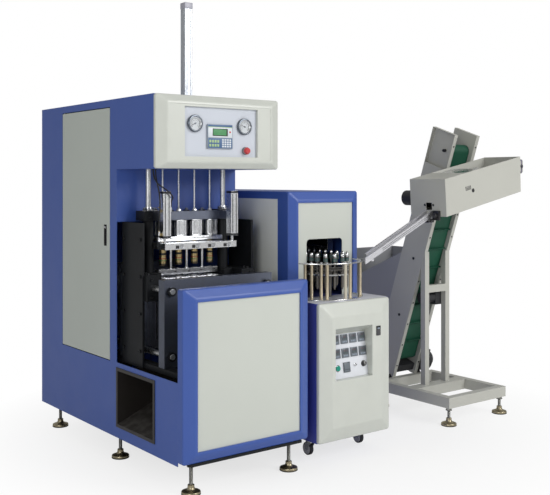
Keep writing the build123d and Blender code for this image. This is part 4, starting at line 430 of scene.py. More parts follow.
# The levelling feet: a turned, yellow-chromated dome on a rubber pad, and a dull zinc stud with its
# thread and lock nut under the frame.
moulded, start, end = new_group(
    "moulded_skin",
    [("Colour", COLOUR, (0.1, 0.1, 0.1, 1)), ("Gloss", NUMBER, 0.5), ("Texture", NUMBER, 0.2),
     ("Fine", NUMBER, 600.0)],
    SURFACE,
)
where = add_node(moulded, "TexCoord").outputs["Object"]
tone = rescale(moulded, noise(moulded, where, 9.0, 4.0), 0.3, 0.7, 0.98, 1.02)
feed(moulded, scale_colour(moulded, start.outputs["Colour"], tone), end.inputs["Colour"])
smears = rescale(moulded, noise(moulded, where, 30.0, 5.0), 0.3, 0.7, -0.04, 0.04)
feed(moulded, total(moulded, start.outputs["Gloss"], smears), end.inputs["Roughness"])
edges = edges_of(moulded, 0.0008)
pores = noise(moulded, where, start.outputs["Fine"], 2.0)
skin = bump(moulded, start.outputs["Texture"], pores, edges.outputs["Normal"], 0.0002)
feed(moulded, skin, end.inputs["Normal"])


def plastic(name, colour, gloss=0.45, texture=0.2, fine=600.0, shine=0.0, specular=0.5):
    """A moulded plastic or rubber finish."""
    values = {"Colour": (*colour, 1), "Gloss": gloss, "Texture": texture, "Fine": fine}
    return finish_from(moulded, name, values, {"Coat Weight": shine, "Specular IOR Level": specular})


chromate = bare_metal("yellow_chromate", (0.46, 0.40, 0.27), polish=0.34, grime=0.35)
black_rubber = plastic("black_rubber", (0.02, 0.02, 0.022), gloss=0.6)
dull_zinc = bare_metal("dull_zinc", (0.34, 0.34, 0.32), polish=0.4, grime=0.3)
frame_bottom, feeder_bottom = 0.156, 0.115
foot_places = [(x, y, frame_bottom) for x in (0.087, 0.713) for y in (0.045, 0.800, 1.620)]
foot_places += [(x, y, feeder_bottom) for x in (2.085, 2.590) for y in (0.116, 0.730)]
domes, pads, studs = (bmesh.new() for number in range(3))
thread_low, pitch, root, crest = 0.0500, 0.003, 0.0088, 0.0100
for foot_x, foot_y, reach in foot_places:
    floor_spot = at(foot_x, foot_y, 0)
    turned(pads, mm((0, 0.5), (48, 0), (50, 1), (50, 4), (47, 5), (0, 5)), floor_spot, up, 40)
    turned(domes, mm((47, 4), (49, 6), (49.5, 13), (47.5, 16.5), (40, 19.5), (30, 22.5), (23, 26.5),
                     (19, 31.5), (17.5, 38), (17.5, 47), (16, 49), (13, 50), (7, 50)), floor_spot, up, 40)
    thread = [(root, 0.049)]
    for number in range(int((reach - thread_low) / pitch)):
        thread.append((crest, thread_low + number * pitch + 0.0010))
        thread.append((root, thread_low + number * pitch + 0.0025))
    turned(studs, thread, floor_spot, up, 16)
    hexagon_nut(studs, floor_spot + Vector((0, 0, reach - 0.015)), up, 0.018, 0.0145, 0.0095)
    turned(studs, mm((9.5, 0), (21, 0), (21, 2), (9.5, 2)), floor_spot + Vector((0, 0, reach - 0.0175)), up, 24)
feet = piece("foot_domes", domes, chromate)
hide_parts("levelling_feet")
piece("foot_pads", pads, black_rubber)
piece("foot_studs", studs, dull_zinc)

# The door in the cabinet's left side: a folded pale sheet on two hidden pins, with a recessed
# paddle latch and a key lock.
pale_grey = painted_steel("pale_grey_coat", (0.50, 0.54, 0.50), gloss=0.42, dust=0.1)
wear(pale_grey, "left_door")
black_plastic_and_hole_shade = plastic("black_plastic_and_hole_shade", (0.018, 0.018, 0.02), gloss=0.38)
chrome = bare_metal("chrome_plate", (0.72, 0.73, 0.74), polish=0.10, depth=0.05, grime=0.05)
latch_black = plastic("latch_black", (0.006, 0.006, 0.008), gloss=0.6, specular=0.15)
latch = bmesh.new()
slab(latch, at(0.0003, 0.797, 1.209), at(0.004, 0.835, 1.331), 0.001)
slab(latch, at(-0.0022, 0.803, 1.222), at(0.0035, 0.829, 1.302), 0.0016)
piece("latch_paddle", latch, latch_black, "door")
lock = bmesh.new()
turned(lock, mm((0, 0), (7, 0), (7, 2.5), (5.8, 3.5), (5, 3.5), (5, 2), (0, 2)),
       at(0.0005, 0.817, 1.314), to_left, 28)
slab(lock, at(-0.0022, 0.8163, 1.3105), at(-0.0010, 0.8177, 1.3175), 0)
piece("latch_lock", lock, chrome, "door")

# The discharge chute: brown-black folded sheet under the moulds, with its flange screwed to the
# cabinet's left side between two grey edge strips.
brown_coat = painted_steel("brown_coat", (0.020, 0.017, 0.015), gloss=0.45, rub=0.5, dust=0.16,
                           bare=(0.24, 0.23, 0.22))
wear(brown_coat, "discharge_chute")
grey_edge = painted_steel("grey_edge_coat", (0.34, 0.35, 0.36), gloss=0.42, dust=0.1)
flange_screws = bmesh.new()
screw_places = [(y, z) for y in (0.2625, 0.3675, 0.4675, 0.5675, 0.6725) for z in (0.2245, 0.5385)]
screw_places += [(y, z) for z in (0.300, 0.381, 0.460) for y in (0.2625, 0.6725)]
for screw_y, screw_z in screw_places:
    turned(flange_screws, mm((0, 0), (5.5, 0), (5.2, 1.4), (3.5, 2.3), (0, 2.6)),
           at(-0.0012, screw_y, screw_z), to_left, 20)
piece("chute_screws", flange_screws, zinc)
flange_strips = bmesh.new()
for strip_y in (0.2565, 0.6735):
    low, high = at(-0.0022, strip_y - 0.0005, 0.2200), at(-0.0010, strip_y + 0.0055, 0.5430)
    slab(flange_strips, low, high, 0.0004)
piece("chute_strips", flange_strips, grey_edge)

# The mould clamp: ground tie bars with hexagon nuts, burnished platens that slide on them and the
# clamp cylinder's yoke behind.
ground = bare_metal("ground_steel", (0.66, 0.67, 0.68), polish=0.28, along=(1, 1, 1), grime=0.05)
burnished = bare_metal("burnished_steel", (0.15, 0.165, 0.21), polish=0.38, grime=0.2)
milled = bare_metal("milled_aluminium", (0.74, 0.75, 0.77), polish=0.30, along=(1, 6, 6), grime=0.08)
wear(burnished, "front_platen", "rear_platen", "clamp_yoke")
wear(milled, "front_mould", "rear_mould")
bars, nuts = bmesh.new(), bmesh.new()
bar_front, bar_back = (corner[1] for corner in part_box("tie_bars"))
length = bar_back - bar_front
bar_radius, bar_ease, nut_height = 0.016, 0.0015, 0.019
bar_outline = [(0, 0), (bar_radius - bar_ease, 0), (bar_radius, bar_ease), (bar_radius, length - bar_ease),
               (bar_radius - bar_ease, length), (0, length)]
for bar_x in (0.090, 0.710):
    for bar_z in (0.660, 1.000):
        start = at(bar_x, 0, bar_z)
        start.y = bar_front
        turned(bars, bar_outline, start, (0, 1, 0), 40)
        for nut_start in (0.0004, length - nut_height - 0.0004):
            hexagon_nut(nuts, start + Vector((0, nut_start, 0)), (0, 1, 0), 0.0258, nut_height, 0.0155)
tie_bars = piece("ground_tie_bars", bars, ground, "front_clamp")
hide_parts("tie_bars")
piece("tie_nuts", nuts, black_oxide_and_groove_shade, "front_clamp")

# The mould halves' fittings: a steel neck ring let in at each cavity, screws round it and a dark
# port for the cooling water.
rod_line = 0.594
rod_places = [0.2425 + number * 0.105 for number in range(4)]
mould_top = 1.035
for name, body, side in (("front", "front_clamp", -1), ("rear", "rear_clamp", 1)):
    half = (0, math.pi) if side == 1 else (math.pi, 2 * math.pi)
    rings, screws, holes = (bmesh.new() for number in range(3))
    for neck_x in rod_places:
        turned(rings, mm((14, 0), (24, 0), (24, 1.6), (22.5, 2.4), (15.5, 2.4), (14, 1.2), (14, 0)),
               at(neck_x, rod_line + side * 0.0005, mould_top), up, 28, half)
        for screw_x in (neck_x - 0.036, neck_x + 0.036):
            for reach, radius in ((0.018, 0.0055), (0.082, 0.007)):
                socket_screw(screws, at(screw_x, rod_line + side * reach, mould_top), up, radius, 0.0022)
        # Painted shade: each cooling water port is a thin black disc on the mould's top, standing for the shade
        # inside the open hole.
        turned(holes, mm((0, 0), (9.5, 0), (9.5, 0.6), (0, 0.6)),
               at(neck_x, rod_line + side * 0.060, mould_top), up, 24)
    piece(name + "_neck_rings", rings, ground, body)
    piece(name + "_mould_screws", screws, black_oxide_and_groove_shade, body)
    piece(name + "_mould_ports", holes, black_plastic_and_hole_shade, body)

# The guide columns, bridge and stretch carriage: ground bars in turned flanges, a yoke that
# carries the four stretch rods with their lock nuts.
wear(ground, "guide_columns", "stretch_rods")
arm_top = 1.411
column_rings = bmesh.new()
for column_x in (0.151, 0.649):
    turned(column_rings, mm((15.5, 0), (30, 0), (30, 10), (28, 12), (24, 12), (22, 22), (15.5, 23)),
           at(column_x, rod_line, arm_top), up, 36)
piece("column_flanges", column_rings, zinc)

# The crosshead: a burnished steel bar with black end blocks on the two posts, silver rod bushes,
# black socket screws between them and white washers under the end screws.
wear(burnished, "crosshead")
end_blocks = bmesh.new()
front, back, low, wide = 0.5466, 0.6414, 1.3566, 0.1008
covers = (((0, front, low), (wide, front + 0.0008, arm_top)),
          ((0, back - 0.0008, low), (wide, back, arm_top)),
          ((0, front, arm_top - 0.0006), (wide, back, arm_top + 0.0004)),
          ((0, front, low), (0.0010, back, arm_top)),
          ((wide - 0.0010, front, low), (wide, back, arm_top)))
for block_left in (0.0996, 0.5996):
    for (low_x, *low_rest), (high_x, *high_rest) in covers:
        slab(end_blocks, at(block_left + low_x, *low_rest), at(block_left + high_x, *high_rest), 0.0002)
piece("crosshead_ends", end_blocks, black_coat)
bushes, screws, washers = (bmesh.new() for number in range(3))
bar_top = 1.405
for rod_x in rod_places:
    hexagon_nut(bushes, at(rod_x, rod_line, bar_top), up, 0.0165, 0.010, 0.0062)
    turned(bushes, mm((5.8, 9), (11, 9.5), (11, 17), (9.5, 19), (5.8, 19)),
           at(rod_x, rod_line, bar_top), up, 28)
for screw_x in (0.295, 0.400, 0.505):
    for screw_y in (0.572, 0.616):
        socket_screw(screws, at(screw_x, screw_y, bar_top), up, 0.0075, 0.008)
for screw_x in (0.115, 0.185, 0.615, 0.685):
    turned(washers, mm((9.5, 0), (14.5, 0), (14.5, 1.8), (9.5, 1.8)), at(screw_x, 0.566, arm_top), up, 28)
    socket_screw(screws, at(screw_x, 0.566, arm_top), up, 0.0095, 0.010)
for screw_x in (0.130, 0.170, 0.630, 0.670):
    socket_screw(screws, at(screw_x, 0.547, 1.380), to_front, 0.0075, 0.007)
piece("rod_bushes", bushes, zinc)
piece("crosshead_screws", screws, black_oxide_and_groove_shade)
white_plastic = plastic("white_plastic", (0.72, 0.72, 0.70), gloss=0.4)
piece("crosshead_washers", washers, white_plastic)

# The seal and side cylinders: drawn aluminium profile with grooves down each side, end caps and a
# manifold plate under the four middle ones, and brass elbow nuts for the hoses.
drawn = bare_metal("drawn_aluminium", (0.80, 0.81, 0.83), polish=0.24, along=(6, 6, 0.25), grime=0.05)


def grooved_square(side, groove, depth):
    """The outline of a square profile bar with two grooves in each side."""
    half = side / 2
    outline = []
    run = [(-half + side * 0.05, half)]
    for middle in (-half * 0.5, half * 0.5):
        left, right = middle - groove, middle + groove
        run += [(left, half), (left, half - depth), (right, half - depth), (right, half)]
    run.append((half - side * 0.05, half))
    for quarter in range(4):
        for across, out in run:
            for step in range(quarter):
                across, out = out, -across
            outline.append((across, out))
    return outline


def drawn_bar(mesh, outline, start, length):
    """Adds an upright bar of one outline."""
    low, high = ([mesh.verts.new(start + Vector((across, out, reach))) for across, out in outline]
                 for reach in (0.0, length))
    for number in range(len(outline)):
        following = (number + 1) % len(outline)
        mesh.faces.new((low[number], low[following], high[following], high[number]))
    mesh.faces.new(low)
    mesh.faces.new(high)


seals, caps = bmesh.new(), bmesh.new()
manifold_low, manifold_top, profile_low, profile_top, seal_top = 1.240, 1.263, 1.271, 1.349, 1.357
for seal_x in rod_places:
    profile = grooved_square(0.068, 0.0028, 0.0035)
    drawn_bar(seals, profile, at(seal_x, rod_line, profile_low), profile_top - profile_low)
    for cap_low, cap_high in ((manifold_top, profile_low), (profile_top, seal_top)):
        slab(caps, at(seal_x - 0.0336, 0.5604, cap_low), at(seal_x + 0.0336, 0.6276, cap_high), 0.002)
    for screw_x in (-0.025, 0.025):
        socket_screw(caps, at(seal_x + screw_x, 0.5606, 1.267), to_front, 0.003, 0.0004)
near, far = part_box("seal_cylinders")
slab(seals, (near[0], near[1], manifold_low), (far[0], far[1], manifold_top), 0.0015)
blocks = piece("seal_profiles", seals, drawn)
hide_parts("seal_cylinders")
piece("seal_caps", caps, zinc)
wear(drawn, "side_cylinders")
sides = bmesh.new()
for side_x in (0.177, 0.623):
    # Painted shade: the grooves down the side cylinders' fronts are thin black strips, standing for the shade
    # in the grooves.
    for groove_x in (-0.012, 0.012):
        slab(sides, at(side_x + groove_x - 0.0022, 0.4316, 1.280),
             at(side_x + groove_x + 0.0022, 0.4324, 1.504), 0)
    for cap_low, cap_high in ((1.2645, 1.277), (1.507, 1.5195)):
        slab(sides, at(side_x - 0.0245, 0.4315, cap_low), at(side_x + 0.0245, 0.4805, cap_high), 0.001)
piece("side_cylinder_caps_and_groove_shade", sides, black_oxide_and_groove_shade)
brass = bare_metal("turned_brass", (0.62, 0.48, 0.24), polish=0.26, grime=0.12)
elbows = bmesh.new()
for elbow_z in (1.414, 1.284):
    hexagon_nut(elbows, at(0.1525, 0.456, elbow_z), to_left, 0.0095, 0.008, 0.003)
    turned(elbows, mm((4.5, 0), (6.2, 1), (6.2, 4), (4.5, 5)), at(0.139, 0.456, elbow_z + 0.0165), up, 20)
piece("elbow_nuts", elbows, brass)

# The blow nozzles, holder plate and preform bar: turned brass nozzles with coloured seal rings,
# over a notched plate and the bright bar that the preforms' necks hang in.
wear(brass, "blow_nozzles")
bright = bare_metal("bright_aluminium", (0.84, 0.85, 0.87), polish=0.20, along=(0.3, 6, 6), grime=0.04)
wear(bright, "holder_plate", "preform_bar")
red_ring = plastic("red_seal", (0.45, 0.03, 0.02), gloss=0.4)
green_ring = plastic("green_seal", (0.03, 0.22, 0.08), gloss=0.4)
seal_rings = (("dark", black_plastic_and_hole_shade, 1.160, 1.172, 0.0204), ("red", red_ring, 1.139, 1.143, 0.0202),
              ("green", green_ring, 1.127, 1.131, 0.0202), ("collar", black_oxide_and_groove_shade, 1.106, 1.113, 0.0203))
for label, finish, low, high, radius in seal_rings:
    rings = bmesh.new()
    for nozzle_x in rod_places:
        turned(rings, [(0.0192, 0), (radius, 0.0006), (radius, high - low - 0.0006), (0.0192, high - low)],
               at(nozzle_x, rod_line, low), up, 36)
    piece("nozzle_rings_" + label, rings, finish, "nozzles")
sockets = bmesh.new()
for socket_x in rod_places:
    slab(sockets, at(socket_x - 0.011, 0.4316, 1.205), at(socket_x + 0.011, 0.4330, 1.2235), 0.0006)
piece("holder_sockets", sockets, black_plastic_and_hole_shade, "preform_holder")
holder_screws = bmesh.new()
for number in range(5):
    socket_screw(holder_screws, at(0.226 + number * 0.087, 0.5702, 1.065), to_front, 0.0048, 0.0035)
piece("holder_screws", holder_screws, black_oxide_and_groove_shade, "preform_holder")

# The two air hoses: black polyurethane tube, hanging in an arc from the head to the two elbow
# fittings of the left side cylinder.
hose_rubber = plastic("hose_rubber", (0.006, 0.006, 0.007), gloss=0.45, texture=0.05)
hose_top = 1.645
upper_end, lower_end = 1.432, 1.302
upper_run = [(0.119, 0.484, 1.0), (0.119, 0.484, 0.82), (0.132, 0.460, 0.60), (0.160, 0.424, 0.48),
             (0.190, 0.409, 0.34), (0.211, 0.424, 0.24), (0.215, 0.456, 0.17), (0.215, 0.456, 0.0)]
lower_run = [(0.134, 0.484, 1.0), (0.134, 0.484, 0.89), (0.141, 0.470, 0.72), (0.145, 0.458, 0.58),
             (0.143, 0.448, 0.40), (0.136, 0.446, 0.23), (0.139, 0.456, 0.11), (0.139, 0.456, 0.0)]
tube = bpy.data.curves.new("air_hose_tubes", "CURVE")
tube.dimensions = "3D"
tube.bevel_depth = 0.004
tube.bevel_resolution = 4
tube.resolution_u = 12
tube.use_fill_caps = True
for run, low in ((upper_run, upper_end), (lower_run, lower_end)):
    way = tube.splines.new("NURBS")
    way.points.add(len(run) - 1)
    for point, (x, y, share) in zip(way.points, run):
        point.co = (*at(x, y, low + share * (hose_top - low)), 1.0)
    way.order_u = 3
    way.use_endpoint_u = True
tube.materials.append(hose_rubber)
hoses = bpy.data.objects.new("air_hose_tubes", tube)
bpy.context.collection.objects.link(hoses)
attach(hoses, "row")
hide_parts("air_hoses")

# The stretch cylinder over the head: a square anodised profile with grooves, grey cast end caps and
# four screws on top.
anodised = bare_metal("anodised_aluminium", (0.64, 0.67, 0.71), polish=0.46, depth=0.08, along=(6, 6, 0.2),
                      grime=0.03)
cast_grey = painted_steel("cast_grey", (0.42, 0.42, 0.48), gloss=0.4, dust=0.05)
barrel = bmesh.new()
barrel_bottom, barrel_top, cap_top = 1.996, 2.562, 2.5965
barrel_start = at(0.400, rod_line, barrel_bottom)
drawn_bar(barrel, grooved_square(0.050, 0.0024, 0.0028), barrel_start, barrel_top - barrel_bottom)
barrel_piece = piece("stretch_profile", barrel, anodised)
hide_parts("stretch_cylinder")
caps = bmesh.new()
for cap_low, cap_high in ((1.960, barrel_bottom), (barrel_top, cap_top)):
    slab(caps, at(0.374, 0.568, cap_low), at(0.426, 0.620, cap_high), 0.0015)
for screw_x in (0.382, 0.418):
    for screw_y in (0.576, 0.612):
        turned(caps, mm((0, 0), (5, 0), (5, 1), (3, 1.4), (0, 0.8)), at(screw_x, screw_y, cap_top), up, 24)
for side in (-1, 1):
    turned(caps, mm((9, 0), (9, 0.8), (6, 0.8), (5, 0)), at(0.400 + side * 0.0258, rod_line, 2.582),
           (side, 0, 0), 28)
piece("stretch_caps", caps, cast_grey)

# The head's front: a moulded pale bezel, a painted plate behind its window and two round black hose
# grommets in the housing's floor.
pale_moulding = plastic("pale_moulding", (0.60, 0.62, 0.57), gloss=0.34, texture=0.12, fine=900.0,
                        shine=0.25)
wear(pale_moulding, "head_bezel")
plate_coat = painted_steel("plate_coat", (0.575, 0.61, 0.68), gloss=0.45, dust=0.05)
wear(plate_coat, "head_panel")
grommets = bmesh.new()
for grommet_x in (0.119, 0.134):
    turned(grommets, mm((4.5, 0), (7, 0), (7, 3), (4.5, 3)), at(grommet_x, 0.484, 1.639), up, 24)
piece("hose_grommets", grommets, black_rubber)

# The two pressure gauges: a darkened rim with a bright ring inside, a white dial with its printed
# arcs and ticks, and a black needle on a steel boss.
dark_chrome = bare_metal("dark_chrome", (0.16, 0.18, 0.21), polish=0.24, grime=0.05)
dial_white = plastic("dial_white", (0.60, 0.63, 0.66), gloss=0.35, texture=0.0, shine=0.3)
print_black = plastic("print_black", (0.015, 0.015, 0.016), gloss=0.4, texture=0.0)
rims, inner_rims, dials, marks, needles, bosses = (bmesh.new() for number in range(6))
plate_front = 0.245
for gauge_x, gauge_z, reading in ((0.233, 1.883, 205), (0.554, 1.876, 160)):
    middle = at(gauge_x, plate_front, gauge_z)
    turned(rims, mm((36, 0), (43, 0), (45.5, 2), (46, 5), (46, 11), (44.5, 14.5), (42, 16), (37.5, 15.5),
                    (36.5, 13.5), (36.5, 8)), middle, to_front, 72)
    turned(inner_rims, mm((36.8, 8.5), (36.8, 13.5), (34.5, 12), (33.5, 9.5), (33.5, 8.5)), middle,
           to_front, 72)
    turned(dials, mm((0, 9), (33.8, 9)), middle, to_front, 64)
    for inner, outer, last in ((27.5, 28.6, 225), (18, 18.8, 225), (29, 30.4, 30)):
        arc_outline = mm((inner, 9.2), (outer, 9.2), (outer, 9.4), (inner, 9.4), (inner, 9.2))
        turned(marks, arc_outline, middle, to_front, 48, (math.radians(-45), math.radians(last)))
    for number in range(31):
        angle = math.radians(225 - number * 9)
        long, wide = (0.0062, 0.0007) if number % 5 == 0 else (0.0034, 0.0004)
        spin = Matrix.Translation(middle) @ Matrix.Rotation(-angle, 4, "Y")
        slab(marks, (0.0282 - long, -0.0095, -wide), (0.0282, -0.0091, wide), 0, spin)
    spin = Matrix.Translation(middle) @ Matrix.Rotation(-math.radians(reading), 4, "Y")
    slab(needles, (-0.009, -0.0108, -0.0012), (0.025, -0.0102, 0.0012), 0.0002, spin)
    turned(bosses, mm((4.2, 9), (4.2, 11.5), (3, 12.5), (0, 12.7)), middle, to_front, 28)
rim_piece = piece("gauge_rims", rims, dark_chrome, crease=50)
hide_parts("pressure_gauges")
piece("gauge_inner_rims", inner_rims, chrome, crease=50)
piece("gauge_dials", dials, dial_white)
piece("gauge_marks", marks, print_black)
piece("gauge_needles", needles, print_black)
piece("gauge_bosses", bosses, dark_chrome)

# The process controller: a grey-blue case with a printed foil front, a green liquid crystal screen
# and raised membrane keys, yellow-green on the left and white on the right.
case_grey = plastic("case_grey", (0.28, 0.33, 0.40), gloss=0.42)
foil_white = plastic("foil_white", (0.70, 0.74, 0.78), gloss=0.35, texture=0.05)
foil_blue = plastic("foil_blue", (0.062, 0.135, 0.280), gloss=0.42, texture=0.05)
foil_green = plastic("foil_green", (0.38, 0.54, 0.26), gloss=0.42, texture=0.05)
screen_green = plastic("screen_green", (0.085, 0.31, 0.12), gloss=0.5, texture=0.0)
dark_green = plastic("dark_green", (0.050, 0.200, 0.080), gloss=0.5, texture=0.0)
signal_red = plastic("signal_red", (0.62, 0.025, 0.02), gloss=0.25, texture=0.0, shine=0.6)
case_front = 0.2335
case = bmesh.new()
slab(case, at(0.310, case_front, 1.751), at(0.473, plate_front, 1.883), 0.002)
case_piece = piece("controller_case", case, case_grey)
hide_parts("controller")


def foil(name, finish, patches, thick=0.0004):
    """Raised patches on the controller's front, given as left, right, bottom, top in millimetres."""
    mesh = bmesh.new()
    for left, right, bottom, top in patches:
        slab(mesh, at(left / 1000, case_front - thick, bottom / 1000),
             at(right / 1000, case_front + 0.0005, top / 1000), min(0.0006, thick * 0.45))
    piece(name, mesh, finish)


foil("controller_foil", foil_white, [(314, 469, 1812, 1866)])
foil("controller_strip", foil_blue, [(314, 469, 1870, 1880), (314, 469, 1755, 1808)])
foil("controller_stripe", foil_green, [(314, 469, 1866.5, 1869.5)])
foil("screen_frame", print_black, [(342, 440, 1820, 1860)], thick=0.0010)
foil("screen_glass", screen_green, [(346, 431, 1824, 1856)], thick=0.0016)
letters = []
for row_z in (1848, 1840, 1832):
    for number in range(11):
        if (number * 7 + row_z) % 5:
            letters.append((350 + number * 7, 354 + number * 7, row_z, row_z + 4.5))
foil("screen_figures", dark_green, letters, thick=0.0018)
foil("controller_lamp", signal_red, [(450, 459, 1838, 1847)], thick=0.0022)
left_keys = [(left, left + 12, low, low + 14) for left in range(320, 388, 17) for low in (1762, 1784)]
right_keys = [(left, left + 12, low, low + 9) for left in range(402, 466, 16)
              for low in range(1759, 1807, 12)]
foil("left_keys", foil_green, left_keys, thick=0.0014)
foil("right_keys", foil_white, right_keys, thick=0.0014)

# The emergency stop: a glossy red mushroom button, with a grey plastic collar round its neck that
# stands on the head panel.
red_gloss = plastic("red_gloss", (0.56, 0.045, 0.050), gloss=0.20, texture=0.0, shine=0.6)
wear(red_gloss, "stop_button")
collar_grey = plastic("collar_grey", (0.20, 0.21, 0.23), gloss=0.4)
collar = bmesh.new()
turned(collar, mm((16.2, 0), (21.5, 0), (21.5, 2), (19.5, 3), (17.8, 7.5), (16.2, 7.8)),
       at(0.563, plate_front, 1.743), to_front, 48)
piece("stop_collar", collar, collar_grey)

# The guard in front of the clamp: a blue welded box with bevelled edges round a pale sheet that is
# let into its rebate.
wear(blue_coat, "guard_frame")
pale_coat = painted_steel("pale_coat", (0.585, 0.61, 0.56), gloss=0.42, dust=0.08)
wear(pale_coat, "guard_panel")

# The oven's cabinet and body: blue powder-coated sheet, a pale sheet front with the window, a pale
# cover hooked over the side and a silver sheet on the table.
wear(blue_coat, "control_cabinet", "oven_shell")
wear(pale_coat, "oven_front_panel")
# Painted light: the side cover's colour is made lighter than the sheet is, to make up for the shadow that the
# blowing unit casts on it.
wear(painted_steel("cover_coat_painted_light", (0.78, 0.80, 0.76), gloss=0.42, dust=0.02), "oven_side_cover")
silver_coat = painted_steel("silver_coat", (0.56, 0.57, 0.64), gloss=0.36, rub=0.8)
oven = 0.875
table_low, table_top = 0.8945, 0.8960
table = bmesh.new()
slab(table, at(oven + 0.001, 0.001, table_low), at(oven + 0.539, 0.2385, table_top), 0.0006)
piece("table_sheet", table, silver_coat)

# Inside the oven: reflectors of polished sheet, and the spindle chain that runs between them, with
# bright mandrel heads and teal sleeves where it comes out in front.
wear(bare_metal("reflector_sheet", (0.60, 0.61, 0.62), polish=0.2, grime=0.12), "heating_frame")
spindle_steel = bare_metal("spindle_steel", (0.20, 0.19, 0.18), polish=0.34, grime=0.2)
wear(spindle_steel, "spindle_chain", "front_sprocket")
heads, sleeves = bmesh.new(), bmesh.new()
teal = plastic("teal_sleeve", (0.035, 0.11, 0.11), gloss=0.35)
chain_line, chain_back, chain_front, bend = 0.263, 1.45, 0.2, 0.107
straight, half_bend, seen_to, spindles = 1.25, math.pi * bend, 0.8, 60
for number in range(spindles):
    along = (straight + half_bend) * 2 / spindles * number
    side, mouth = (-1, chain_front) if along < straight + half_bend else (1, chain_back)
    along %= straight + half_bend
    if along < straight:
        spot = (chain_line + side * bend, chain_front + along if side == 1 else chain_back - along)
    else:
        turn = (along - straight) / bend
        spot = (chain_line + side * bend * math.cos(turn), mouth + side * bend * math.sin(turn))
    if spot[1] > seen_to:
        continue
    foot = at(oven + spot[0], spot[1], 0)
    turned(heads, mm((5.2, 1134), (10.5, 1134.5), (11.8, 1137), (11.8, 1150), (10, 1154), (5.2, 1155)),
           foot, up, 24)
    turned(sleeves, mm((12.8, 1112), (13.6, 1113), (13.6, 1117), (12.8, 1118), (12.8, 1122), (13.6, 1123),
                       (13.6, 1127), (12.8, 1128)), foot, up, 24)
piece("mandrel_heads", heads, chrome)
piece("mandrel_sleeves", sleeves, teal)

# The loading ring: two laser-cut steel arcs held apart by turned brass posts, one of them ivory, and
# screwed to the cabinet's top.
plates, posts, pale_posts, post_screws = (bmesh.new() for number in range(4))
centre = at(oven + 0.250, 0.270, 0)
for plate_low in (0.896, 1.102):
    turned(plates, mm((230, 0), (254.5, 0), (255, 0.5), (255, 5), (254.5, 6), (230, 6), (230, 0)),
           centre + Vector((0, 0, plate_low)), up, 96, (math.radians(201), math.radians(350)))
pale_brass = bare_metal("pale_brass", (0.60, 0.52, 0.38), polish=0.42, grime=0.3)
ivory = plastic("ivory_post", (0.56, 0.52, 0.42), gloss=0.4)
post_circle, pale_place = 0.243, 267
post_outline = mm((0, 901.5), (10.2, 901.5), (10.2, 907), (9.2, 908), (9.2, 914), (8.8, 915),
                  (8.8, 1089), (9.2, 1090), (9.2, 1096), (10.2, 1097), (10.2, 1102), (0, 1102))
for angle in (210, 219, 232, 240, pale_place, 276, 307, 330):
    reach = Vector((math.cos(math.radians(angle)), math.sin(math.radians(angle)), 0)) * post_circle
    turned(pale_posts if angle == pale_place else posts, post_outline, centre + reach, up, 32)
    socket_screw(post_screws, centre + reach + Vector((0, 0, 1.108)), up, 0.0065, 0.006)
cut_steel = bare_metal("cut_steel", (0.70, 0.70, 0.70), polish=0.22, grime=0.1)
ring = piece("ring_plates", plates, cut_steel)
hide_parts("loading_ring")
piece("ring_posts", posts, pale_brass)
piece("ring_pale_post", pale_posts, ivory)
piece("ring_screws", post_screws, zinc)

# The control cabinet's front: a pale moulding with a recess for the sloping panel, and a small dark
# counter beside it.
wear(pale_moulding, "control_front")
# Painted shade: the control cabinet's sheet takes a violet copy of the blue coat, the colour that the blue
# paint shows on its shaded left side.
wear(painted_steel("blue_coat_painted_shade", (0.056, 0.070, 0.350), gloss=0.4), "control_cabinet")
panel_white = painted_steel("panel_white", (0.75, 0.77, 0.82), gloss=0.4, dust=0.05)
wear(panel_white, "control_panel")
smoked = plastic("smoked_window", (0.020, 0.022, 0.026), gloss=0.12, texture=0.0, shine=0.8)
counter = bmesh.new()
slab(counter, at(oven + 0.4105, -0.0492, 0.6845), at(oven + 0.4435, -0.0440, 0.7405), 0.0015)
piece("counter_case", counter, smoked)
counter_mark = bmesh.new()
slab(counter_mark, at(oven + 0.4175, -0.0498, 0.722), at(oven + 0.4365, -0.0490, 0.730), 0.0002)
piece("counter_window", counter_mark, case_grey)

# The sloping panel's instruments: eight square temperature controllers with two rows of figures and
# three keys, a dark meter, a toggle switch and a black rotary switch with a white bar.
panel_lean = 8.2
panel_foot = Matrix.Translation(at(oven + 0.241, -0.01103, 0.4605))
panel = panel_foot @ Matrix.Rotation(math.radians(90 - panel_lean), 4, "X")
meter_shift, meter_pitch, meter_half = 0.010, 0.066, 0.0258
columns = [meter_shift + (number - 1.5) * meter_pitch for number in range(4)]
meter_grey = plastic("meter_grey", (0.150, 0.172, 0.198), gloss=0.45)
meter_window = plastic("meter_window", (0.085, 0.100, 0.118), gloss=0.3, texture=0.0)
digit_red = plastic("digit_red", (0.21, 0.12, 0.12), gloss=0.4, texture=0.0)
digit_green = plastic("digit_green", (0.12, 0.19, 0.15), gloss=0.4, texture=0.0)
bodies, windows, reds, greens, keys = (bmesh.new() for number in range(5))
dash = {0: "abcdef", 1: "bc", 2: "abged", 3: "abgcd", 5: "afgcd", 8: "abcdefg"}
strokes = {"a": (0, 2, 1, 2), "b": (1, 1, 1, 2), "c": (1, 0, 1, 1), "d": (0, 0, 1, 0), "e": (0, 0, 0, 1),
           "f": (0, 1, 0, 2), "g": (0, 1, 1, 1)}


def figure(mesh, value, left, bottom, tall):
    """Adds one seven-stroke figure on a controller's window."""
    step = tall / 2
    thin = tall * 0.07
    high = 0.0074
    for stroke in dash[value]:
        x0, y0, x1, y1 = (share * step for share in strokes[stroke])
        slab(mesh, (left + x0 - thin, bottom + y0 - thin, high),
             (left + x1 + thin, bottom + y1 + thin, high + 0.0002), 0, panel)


